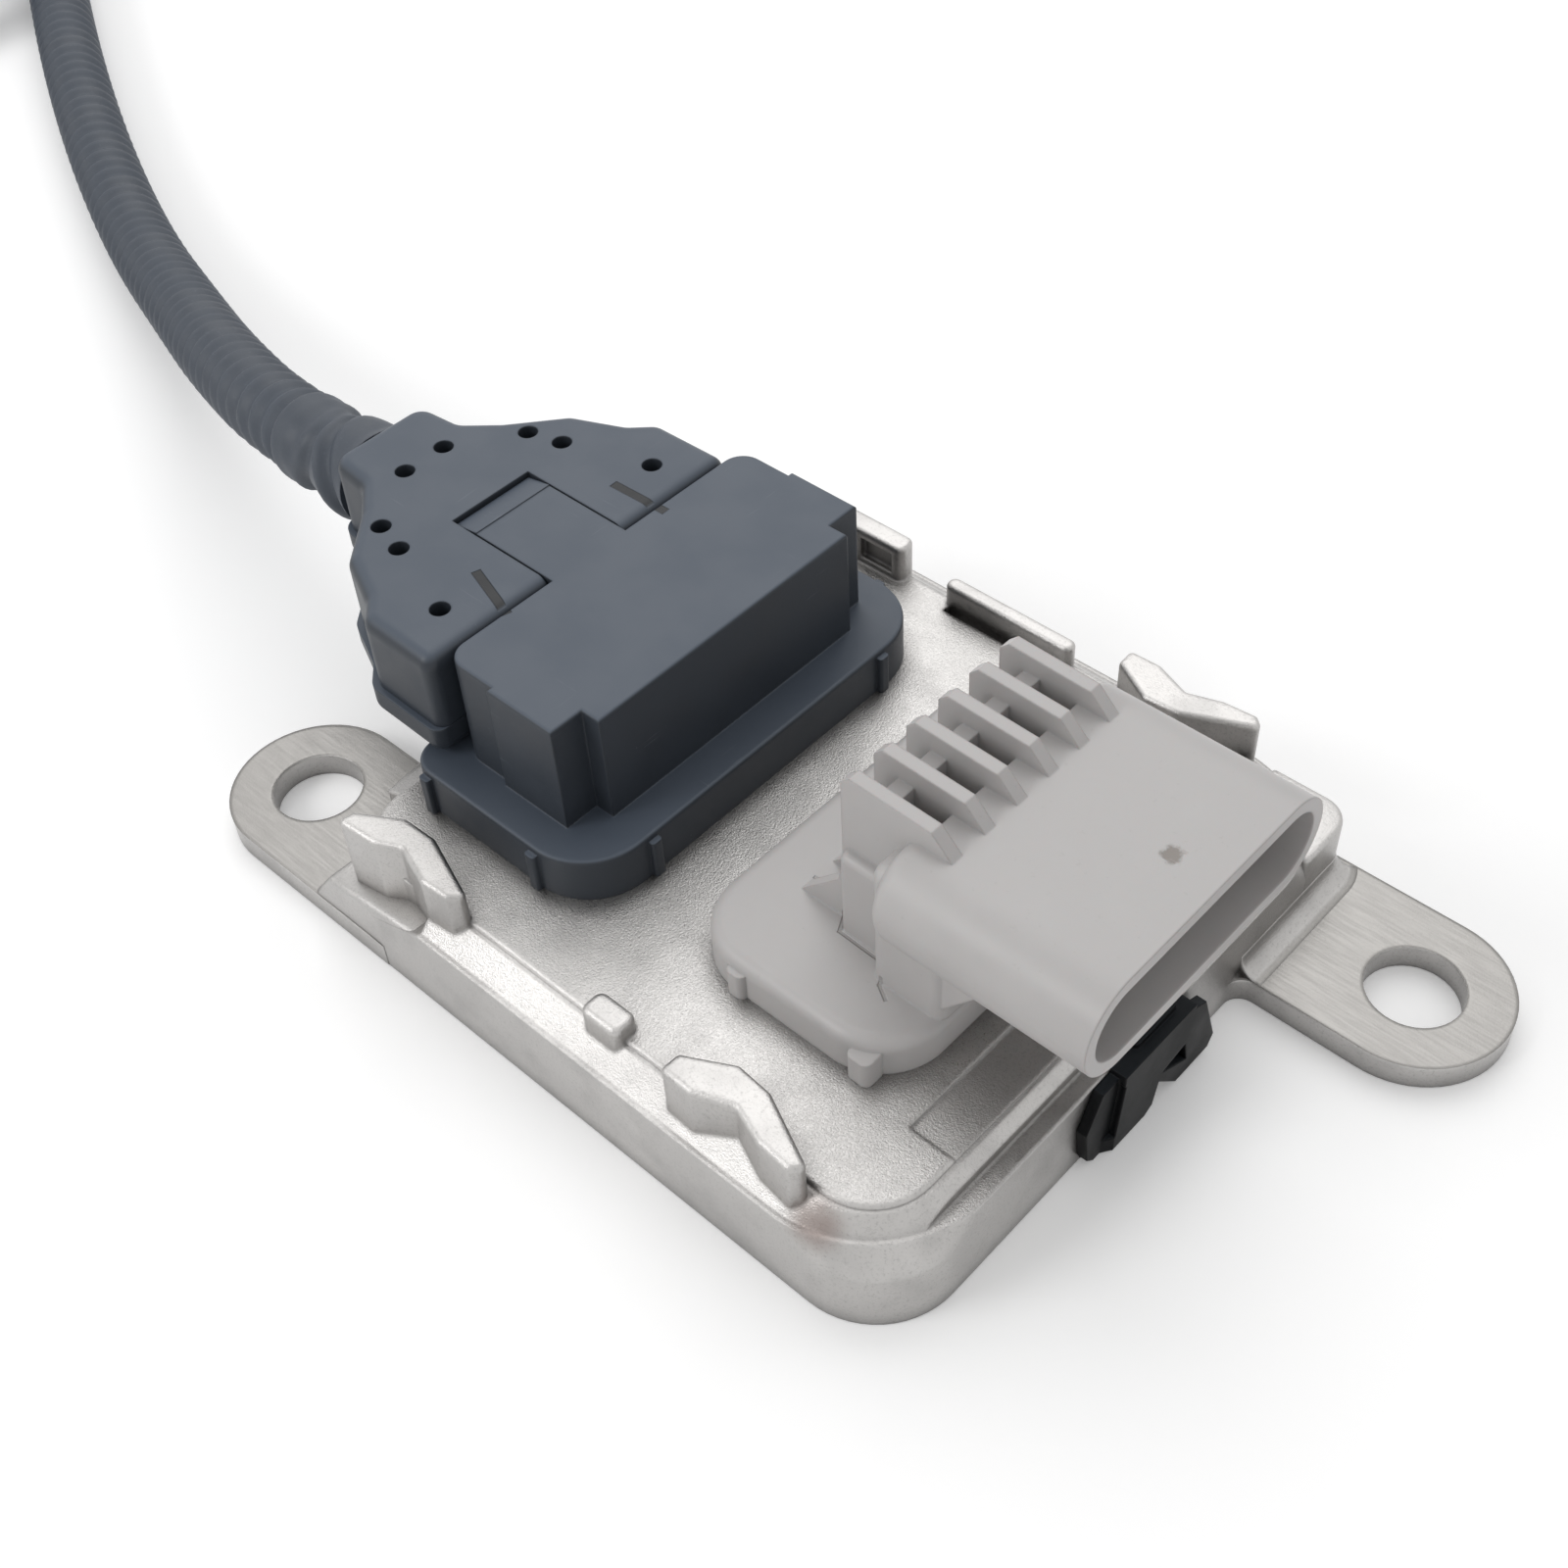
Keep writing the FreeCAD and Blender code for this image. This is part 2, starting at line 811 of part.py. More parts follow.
def blade_hole(x, y, size_x, size_y):
    return slab(x - size_x / 2, x + size_x / 2, y - size_y / 2, y + size_y / 2, 0, 0, board_z + past)


def make_chip(x, y, half, height, lead):
    """Flat chip package with a bevelled body and a low skirt of leads, on top of the board."""
    top = half - chip_slope
    body = frustum(
        (x - half, x + half, y - half, y + half, chip_corner),
        (x - top, x + top, y - top, y + top, chip_top_corner),
        board_z,
        board_z + height,
    )
    long = half + lead
    short = half - chip_lead_margin
    lead_z = board_z + chip_lead_height
    skirt = slab(x - long, x + long, y - short, y + short, 0, board_z, lead_z)
    cross = slab(x - short, x + short, y - long, y + long, 0, board_z, lead_z)
    return one_solid(body.fuse(skirt).fuse(cross))


def make_capacitor(x, y):
    """Upright capacitor with its rounded can on a square foot."""
    half = capacitor_foot / 2
    foot_z = board_z + capacitor_foot_height
    top_z = deck_z - deck_thickness - capacitor_head_room
    foot = slab(x - half, x + half, y - half, y + half, capacitor_foot_corner, board_z, foot_z)
    can = cylinder(capacitor_diameter / 2, foot_z, top_z, x, y)
    can = can.makeFillet(capacitor_round, [e for e in can.Edges if level(e, top_z)])
    return one_solid(foot.fuse(can))


# Plug header


def blade_positions():
    """Middle of each bay between the ribs."""
    return [(i - (rib_count - 2) / 2) * rib_pitch for i in range(rib_count - 1)]


def rib_positions():
    return [(i - (rib_count - 1) / 2) * rib_pitch for i in range(rib_count)]


def shell_outline(x, inset):
    """Oval section of the mouth in the plane at x, set in by inset."""
    y0 = -shell_half_y + inset
    y1 = shell_half_y - inset
    z0 = shell_z0 + inset
    z1 = shell_z1 - inset
    r = shell_corner - inset
    k = r * (1 - math.sqrt(0.5))
    parts = [
        Part.LineSegment(V(x, y0 + r, z0), V(x, y1 - r, z0)),
        Part.Arc(V(x, y1 - r, z0), V(x, y1 - k, z0 + k), V(x, y1, z0 + r)),
        Part.LineSegment(V(x, y1, z0 + r), V(x, y1, z1 - r)),
        Part.Arc(V(x, y1, z1 - r), V(x, y1 - k, z1 - k), V(x, y1 - r, z1)),
        Part.LineSegment(V(x, y1 - r, z1), V(x, y0 + r, z1)),
        Part.Arc(V(x, y0 + r, z1), V(x, y0 + k, z1 - k), V(x, y0, z1 - r)),
        Part.LineSegment(V(x, y0, z1 - r), V(x, y0, z0 + r)),
        Part.Arc(V(x, y0, z0 + r), V(x, y0 + k, z0 + k), V(x, y0 + r, z0)),
    ]
    return Part.Wire([p.toShape() for p in parts])


def make_rib(y):
    """Rib with a straight rear edge, a flared foot and a front end that runs down to the mouth's top."""
    points = [
        V(rib_foot_x, 0, plug_flange_z - root_depth),
        V(rib_foot_x, 0, plug_flange_z),
        V(rib_rear_x - rib_foot_bend, 0, rib_foot_z),
        V(rib_rear_x, 0, rib_foot_z + rib_foot_rise),
        V(rib_rear_x, 0, rib_top_z - rib_round),
        V(rib_rear_x + rib_round, 0, rib_top_z),
        V(rib_front_x - rib_nose, 0, rib_top_z - rib_nose_drop),
        V(rib_front_x, 0, shell_z1 - shell_overlap),
        V(rib_front_x, 0, plug_flange_z - root_depth),
    ]
    face = Part.Face(Part.makePolygon(points + points[:1]))
    face.translate(V(0, y - rib_thickness / 2, 0))
    return face.extrude(V(0, rib_thickness, 0))


def make_gusset(side):
    """Gusset between the neck's front and the mouth's underside."""
    middle = side * (neck_half_y - gusset_inset)
    outline = [
        (neck_x1 - gusset_root, shell_z0 + gusset_rise),
        (neck_x1 - gusset_root, shell_z0 - gusset_height),
        (neck_x1 + gusset_length, shell_z0 + gusset_rise),
    ]
    return side_prism(outline, middle - gusset_thickness / 2, middle + gusset_thickness / 2)


def make_neck():
    """Upright block that carries the mouth, with the pillar behind it."""
    root_z = plug_flange_z - root_depth
    top_z = shell_z1 - neck_drop
    neck = slab(neck_x0, neck_x1, -neck_half_y, neck_half_y, neck_soft, root_z, top_z)
    neck = neck.makeFillet(neck_soft, [e for e in neck.Edges if level(e, top_z)])
    front = neck_x1 - past
    pillar = slab(pillar_x, front, -pillar_half_y, pillar_half_y, pillar_corner, root_z, pillar_top_z)
    pillar = pillar.makeFillet(pillar_edge, [e for e in pillar.Edges if level(e, pillar_top_z)])
    return pillar.fuse(neck)


def make_shell():
    """Outside of the oval mouth, with its rear end rounded."""
    shell = Part.Face(shell_outline(shell_x0, 0)).extrude(V(shell_x1 - shell_x0, 0, 0))
    return shell.makeFillet(shell_rear_soft, [e for e in shell.Edges if e.BoundBox.XMax < shell_x0 + tiny])


def make_plug_header():
    flange = slab(plug_x0, plug_x1, -plug_half_y, plug_half_y, plug_corner, deck_z, plug_flange_z)
    flange = flange.makeFillet(plug_flange_edge, [e for e in flange.Edges if level(e, plug_flange_z)])
    body = flange.fuse(header_skirt(plug_x0, plug_x1, plug_half_y, 0))
    body = body.fuse(make_neck()).fuse(make_shell())

    outer = max(rib_positions()) + rib_thickness / 2
    root_z = plug_flange_z - root_depth
    core = slab(web_x, neck_x1 - past, -outer, outer, 0, root_z, shell_z1 - shell_overlap)
    body = body.fuse(core)
    for y in rib_positions():
        body = body.fuse(make_rib(y))
    front = web_x + web_thickness
    bay = (rib_pitch - rib_thickness) / 2
    above = rib_top_z + past
    for y in blade_positions():
        pocket = slab(front, bay_front_x, y - bay, y + bay, 0, bay_floor_z, above)
        behind = slab(rib_foot_x - past, web_x, y - bay, y + bay, 0, plug_flange_z, above)
        web = slab(web_x, front, y - bay, y + bay, 0, bay_floor_z, web_top_z)
        body = body.cut(pocket).cut(behind).fuse(web)
    for piece in [make_gusset(1), make_gusset(-1)] + snap_tabs():
        body = body.fuse(piece)

    mouth_depth = shell_x1 - mouth_back_x + past
    mouth = Part.Face(shell_outline(mouth_back_x, shell_wall)).extrude(V(mouth_depth, 0, 0))
    body = body.cut(mouth).cut(plug_groove(0))
    for blade in blades():
        body = body.cut(blade)
    return one_solid(body)


def snap_tabs():
    """Rounded nubs standing proud of the plug header's long sides."""
    tabs = []
    for along, half_x, reach in plug_tabs:
        x = plug_x0 + along
        for side in (1, -1):
            y = side * (plug_half_y + reach - half_x)
            tabs.append(slab(x - half_x, x + half_x, y - half_x, y + half_x, tab_corner, deck_z, tab_top_z))
    return tabs


def plug_groove(clear):
    return flange_groove(plug_x0, plug_x1, plug_half_y, plug_corner, plug_corner, clear)


def lead_groove(clear):
    return flange_groove(lead_x0, lead_x1, lead_half_y, lead_rear_corner, lead_corner, clear)


def flange_groove(x0, x1, half_y, rear, front, clear):
    """Groove under a header's flange that holds its gasket."""
    z1 = deck_z + seal_height
    inset = groove_inset + clear
    outer = two_radius_slab(
        x0 + inset, x1 - inset, half_y - inset, rear - inset, front - inset, deck_z, z1 - clear
    )
    deeper = groove_inset + groove_width - clear
    inner = two_radius_slab(
        x0 + deeper,
        x1 - deeper,
        half_y - deeper,
        max(rear - deeper, groove_least_corner),
        front - deeper,
        deck_z - past,
        z1 + past,
    )
    return outer.cut(inner)


def make_blade(y):
    """Blade bent once: up from the board through the header, then forward into the mouth."""
    top = blade_z + blade_thickness / 2
    leg = slab(
        blade_x - blade_thickness / 2,
        blade_x + blade_thickness / 2,
        y - blade_width / 2,
        y + blade_width / 2,
        0,
        board_z - board_thickness - blade_solder_length,
        top,
    )
    run = end_prism(
        [
            (y - blade_width / 2, blade_z - blade_thickness / 2),
            (y + blade_width / 2, blade_z - blade_thickness / 2),
            (y + blade_width / 2, top),
            (y - blade_width / 2, top),
        ],
        blade_x,
        blade_tip_x,
    )
    blade = leg.fuse(run).removeSplitter()
    tip = [e for e in blade.Edges if e.BoundBox.XMin > blade_tip_x - tiny]
    return one_solid(blade.makeChamfer(blade_tip_chamfer, tip))


def blades():
    return [make_blade(y) for y in blade_positions()]


# Lead header


def contact_positions():
    return [(i - (contact_count - 1) / 2) * contact_pitch for i in range(contact_count)]


def tower_outline():
    """Plan of the tower: the corners next to the plug are notched, the rear half is a little narrower."""
    return [
        (tower_x0, -tower_half_y + tower_side_step),
        (tower_step_x, -tower_half_y + tower_side_step),
        (tower_step_x, -tower_half_y),
        (tower_x1 - tower_notch_x, -tower_half_y),
        (tower_x1 - tower_notch_x, -tower_half_y + tower_notch_y),
        (tower_x1, -tower_half_y + tower_notch_y),
        (tower_x1, tower_half_y - tower_notch_y),
        (tower_x1 - tower_notch_x, tower_half_y - tower_notch_y),
        (tower_x1 - tower_notch_x, tower_half_y),
        (tower_step_x, tower_half_y),
        (tower_step_x, tower_half_y - tower_side_step),
        (tower_x0, tower_half_y - tower_side_step),
    ]


def make_lead_header():
    skirt = two_radius_slab(
        lead_x0, lead_x1, lead_half_y, lead_rear_corner, lead_corner, deck_z, lead_skirt_z
    )
    skirt = skirt.makeFillet(lead_skirt_edge, [e for e in skirt.Edges if level(e, lead_skirt_z)])
    body = skirt.fuse(header_skirt(lead_x0, lead_x1, lead_half_y, 0))

    tower = prism(tower_outline(), lead_skirt_z - tower_root, tower_top_z)
    rear = [e for e in tower.Edges if upright(e) and e.BoundBox.XMax < tower_x0 + tiny]
    tower = tower.makeFillet(tower_rear_corner, rear)
    tower = tower.makeFillet(tower_edge, [e for e in tower.Edges if level(e, tower_top_z)])
    body = body.fuse(tower)

    tongue = side_prism(
        [
            (tower_x0 + tongue_root, tower_top_z),
            (tower_x0 + tongue_root, tower_top_z - tongue_thickness),
            (tongue_tip_x, tower_top_z - tongue_thickness),
            (tongue_tip_x, tower_top_z - tongue_nose_drop),
            (tongue_tip_x + tongue_ramp, tower_top_z + tongue_rise),
            (tongue_tip_x + tongue_ramp, tower_top_z),
        ],
        tongue_y0,
        tongue_y1,
    )
    body = body.fuse(tongue)
    for x, y in lead_tabs():
        h = lead_tab_half
        body = body.fuse(
            slab(x - h, x + h, y - h, y + h, lead_tab_corner, deck_z, lead_skirt_z - lead_tab_drop)
        )

    socket = Part.makeBox(
        socket_floor_x - tower_x0 + past,
        2 * socket_half_y,
        socket_z1 - socket_z0,
        V(tower_x0 - past, -socket_half_y, socket_z0),
    )
    body = body.cut(socket)
    body = body.cut(lead_groove(0))
    for contact in contacts():
        body = body.cut(contact)
    return one_solid(body)


def lead_tabs():
    """Places of the four narrow snap ribs seen on the skirt, and their mates on the far side."""
    places = [(lead_x0 + x, side * lead_half_y) for x in lead_side_tabs for side in (1, -1)]
    return places + [(lead_x1, y) for y in lead_front_tabs]


def make_contact(y):
    """Square contact pin: up from the board, then back into the tower's socket."""
    half = contact_size / 2
    leg = slab(
        contact_x - half,
        contact_x + half,
        y - half,
        y + half,
        0,
        board_z - board_thickness - blade_solder_length,
        contact_z + half,
    )
    run = slab(
        contact_tip_x, contact_x, y - half, y + half, 0, contact_z - half, contact_z + half
    )
    return one_solid(leg.fuse(run))


def contacts():
    return [make_contact(y) for y in contact_positions()]


# Fan-shaped cover


def fan_outline(inset, x_front):
    """Plan of the cover round its own middle line, from the conduit's neck to the tower."""
    shift = inset * cover_shoulder
    half = [(cover_end_x, cover_neck_half)]
    half += [(x + shift, y) for x, y in cover_plan]
    half += [(x_front, cover_front_half)]
    near = [(x, cover_y - y + inset) for x, y in half]
    far = [(x, cover_y + y - inset) for x, y in half]
    return near + far[::-1]


def make_cover(inset):
    """Outer form of the clamshell, set in all round by inset."""
    front = tower_x0 - cover_gap
    body = prism(fan_outline(inset, front), cover_z0, cover_z1)
    behind = [e for e in body.Edges if upright(e) and e.BoundBox.XMax < front - tiny]
    body = body.makeFillet(cover_soft, behind)
    at_front = [e for e in body.Edges if upright(e) and e.BoundBox.XMin > front - tiny]
    body = body.makeFillet(cover_front_soft, at_front)
    rims = [e for e in body.Edges if level(e, cover_z0) or level(e, cover_z1)]
    return body.makeFillet(cover_edge, rims)


def make_nose():
    """Nose of the cover that fills the tower's socket."""
    return Part.makeBox(
        nose_x1 - tower_x0 + nose_root,
        2 * nose_half_y,
        socket_z1 - socket_z0 - 2 * cover_gap,
        V(tower_x0 - nose_root, -nose_half_y, socket_z0 + cover_gap),
    )


def conduit_bore():
    """Bore for the conduit along its first run."""
    into = (conduit_route[0] - conduit_route[1]).normalize()
    start = conduit_route[0] - into * (2 * neck_length - past)
    return Part.makeCylinder(conduit_diameter / 2 + conduit_fit, 2 * neck_length, start, into)


def cover_marks():
    """Round holes in pairs in the cover's top."""
    floor = cover_parting_z + cover_hole_floor
    return [
        cylinder(cover_hole / 2, floor, cover_z1 + past, x, cover_y + side * y)
        for x, y in cover_holes
        for side in (1, -1)
    ]


def hollow_cover(inset):
    """Cover with its nose, its inside, and the rooms for conduit, tongue, wires and contacts."""
    body = make_cover(inset).fuse(make_nose())
    top_wall = cover_z1 - tongue_thickness - cover_roof
    inside_x = tower_x0 - cover_gap - cover_wall
    inside = prism(fan_outline(cover_wall, inside_x), cover_z0 + cover_wall, top_wall)
    body = body.cut(inside.cut(neck_block()))
    body = body.cut(conduit_bore()).cut(tongue_room())
    for piece in cover_marks() + wire_channels():
        body = body.cut(piece)
    half = contact_size / 2 + cover_gap / 2
    for y in contact_positions():
        room = slab(
            contact_tip_x - cover_gap / 2,
            nose_x1 + past,
            y - half,
            y + half,
            0,
            contact_z - half,
            contact_z + half,
        )
        body = body.cut(room)
    return body


def make_cover_halves():
    """Upper half and the slightly wider lower half, parted at one height."""
    reach = cover_front_half + cover_lip + past
    wide = Part.makeBox(
        nose_x1 - cover_end_x + 2 * past,
        2 * reach,
        cover_z1,
        V(cover_end_x - past, cover_y - reach, cover_parting_z),
    )
    return one_solid(hollow_cover(0).common(wide)), one_solid(hollow_cover(-cover_lip).cut(wide))


def neck_block():
    """Stretch of the cover that stays solid round the conduit's end."""
    half = cover_front_half
    return Part.makeBox(neck_length, 2 * half, cover_z1, V(cover_end_x, cover_y - half, 0))


def tongue_room():
    """Slot in the cover's top for the header's latch tongue."""
    return Part.makeBox(
        tower_x0 - tongue_tip_x + cover_gap + past,
        tongue_y1 - tongue_y0 + 2 * cover_gap,
        tongue_thickness + cover_gap + past,
        V(tongue_tip_x - cover_gap, tongue_y0 - cover_gap, tower_top_z - tongue_thickness - cover_gap),
    )


def wire_start(i):
    """Where each wire leaves the conduit: places on a ring round its middle."""
    angle = math.radians(360 / contact_count * (i + 0.5))
    middle = conduit_route[0]
    y = middle.y + wire_ring * math.cos(angle)
    z = middle.z + wire_ring * math.sin(angle)
    return V(middle.x + wire_gap, y, z)


def wire_order():
    """Ring places from the near side to the far side, so that no two wires cross."""
    return sorted(range(contact_count), key=lambda i: (wire_start(i).y, wire_start(i).z))


def wire_points(rank):
    """Corners of one wire's route from the conduit to the socket."""
    start = wire_start(wire_order()[rank])
    y = contact_positions()[rank]
    return [
        start,
        start + V(wire_straight, 0, 0),
        V(contact_tip_x - wire_turn, y, contact_z),
        V(contact_tip_x, y, contact_z),
    ]


def make_wire(rank):
    return rounded_tube(wire_points(rank), wire_diameter / 2)[0]


def wire_channels():
    """Grooves in the nose for the wires' last stretch."""
    radius = wire_diameter / 2 + wire_fit
    start = contact_tip_x - wire_turn + nose_root
    return [
        Part.makeCylinder(radius, contact_tip_x - start, V(start, y, contact_z), V(1, 0, 0))
        for y in contact_positions()
    ]


# Clip on the rim


def make_edge_clip():
    """Moulded clip: a tongue on the rim, an outer face with a three-cornered window, and an inner wall."""
    inner = plate_half_x + clip_fit
    tongue = slab(
        step_x + clip_tongue_gap,
        inner + clip_reach,
        clip_y0,
        clip_y1,
        clip_tongue_corner,
        rim_z,
        rim_z + clip_wall,
    )
    face = end_prism(clip_face, clip_face_x - clip_wall, clip_face_x)
    window = end_prism(clip_window, inner, clip_face_x + past)
    back = end_prism(clip_back, inner, inner + clip_wall)
    y0, y1, y2, y3 = clip_foot_y
    foot = prism(
        [(inner, y0), (clip_face_x, y2), (clip_face_x, y3), (inner, y1)], clip_foot_z0, clip_foot_z1
    )
    bridge = slab(
        inner, clip_face_x, clip_bridge_y0, clip_bridge_y1, 0, clip_bridge_z0, clip_bridge_z1
    )
    return one_solid(face.cut(window).fuse(back).fuse(foot).fuse(bridge).fuse(tongue))


# Conduit


def turn_radius(a, b, c, share):
    """Largest arc at b between the runs a-b and b-c, as a share of the shorter run."""
    into = (b - a).normalize()
    out = (c - b).normalize()
    turn = into.getAngle(out)
    shorter = min((b - a).Length, (c - b).Length)
    return share * shorter / math.tan(turn / 2)


def rounded_path(points, share):
    """Straight runs joined by tangent arcs, with the arcs' radii."""
    edges = []
    radii = []
    at = points[0]
    for a, b, c in zip(points, points[1:], points[2:]):
        into = (b - a).normalize()
        out = (c - b).normalize()
        turn = into.getAngle(out)
        radius = turn_radius(V(a), V(b), V(c), share)
        back = radius * math.tan(turn / 2)
        start = b - into * back
        end = b + out * back
        inward = (out - into).normalize()
        middle = b + inward * (radius / math.cos(turn / 2) - radius)
        if (start - at).Length > 1e-4:
            edges.append(Part.LineSegment(at, start).toShape())
        edges.append(Part.Arc(start, middle, end).toShape())
        radii.append(round(radius, 1))
        at = end
    edges.append(Part.LineSegment(at, points[-1]).toShape())
    return Part.Wire(edges), radii


def rounded_tube(points, radius):
    """Solid tube along a route, the arcs' radii and the path's length."""
    path, radii = rounded_path([V(p) for p in points], bend_share)
    into = (points[1] - points[0]).normalize()
    ring = Part.Wire([Part.makeCircle(radius, points[0], into)])
    tube = path.makePipeShell([ring], True, False)
    return tube.Solids[0], radii, path.Length


def report_tube(name, tube, radii, length, radius):
    ideal = math.pi * radius**2 * length
    print(name, "radii", radii, "length", round(length, 1), "volume share", round(tube.Volume / ideal, 4))


def coil_middle():
    """Middle of the coil, to the left of the route's last run."""
    last = conduit_route[-1]
    along = (last - conduit_route[-2]).normalize()
    left = V(-along.y, along.x, 0)
    return V(last.x, last.y, 0) + left * coil_radius


def ring(z0, z1, start, sweep):
    """Part of a flat ring round the coil's middle, from an angle through a sweep, with soft corners."""
    r0 = coil_radius - coil_bundle / 2
    r1 = coil_radius + coil_bundle / 2
    middle = coil_middle()
    soft = coil_soft
    points = [
        V(r0 + soft, 0, z0),
        V(r1 - soft, 0, z0),
        V(r1, 0, z0 + soft),
        V(r1, 0, z1 - soft),
        V(r1 - soft, 0, z1),
        V(r0 + soft, 0, z1),
        V(r0, 0, z1 - soft),
        V(r0, 0, z0 + soft),
    ]
    face = Part.Face(Part.makePolygon(points + points[:1]))
    solid = face.revolve(V(0, 0, 0), UP, sweep)
    solid.rotate(V(0, 0, 0), UP, start)
    solid.translate(middle)
    return solid


def make_conduit_coil():
    """Outer shape of the coil: one full turn on the floor and the rest of the second turn on it."""
    double = coil_second_to - coil_second_from
    low = ring(0, coil_layer, coil_second_to, 360 - double)
    high = ring(0, 2 * coil_layer, coil_second_from, double)
    return one_solid(low.fuse(high))


def coil_exit():
    """Place and direction in which the conduit leaves the coil's upper turn."""
    angle = math.radians(coil_second_to)
    place = coil_middle() + V(math.cos(angle), math.sin(angle), 0) * coil_radius
    place.z = coil_layer * 1.5
    return place, V(-math.sin(angle), math.cos(angle), 0)


def probe_axis_z():
    return hex_flats / 2


def end_points():
    """Route from the coil's upper turn down to the probe."""
    place, along = coil_exit()
    side = V(-along.y, along.x, 0)
    drop = V(0, 0, probe_axis_z() - place.z)
    middle = place + along * (conduit_end_run * conduit_end_bend) + side * conduit_end_sway
    first = place + along * conduit_end_run
    down = first + along * conduit_end_drop + drop
    return [place, middle, first, down, down + along * conduit_end_level]


# Probe


def turned(profile):
    """Solid of revolution about the X axis over (x, radius) points."""
    points = [V(x, r, 0) for x, r in profile]
    points = [V(profile[0][0], 0, 0)] + points + [V(profile[-1][0], 0, 0)]
    face = Part.Face(Part.makePolygon(points + points[:1]))
    return face.revolve(V(0, 0, 0), V(1, 0, 0), 360)


def bored(solid, radius, x0, x1):
    return solid.cut(Part.makeCylinder(radius, x1 - x0, V(x0, 0, 0), V(1, 0, 0)))


def placed(solid):
    """A probe piece, built along +X from the grommet's rear face, laid at the conduit's end."""
    last = end_points()[-1]
    along = coil_exit()[1]
    solid = solid.copy()
    solid.rotate(V(0, 0, 0), UP, math.degrees(math.atan2(along.y, along.x)))
    solid.translate(V(last.x, last.y, probe_axis_z()))
    return solid


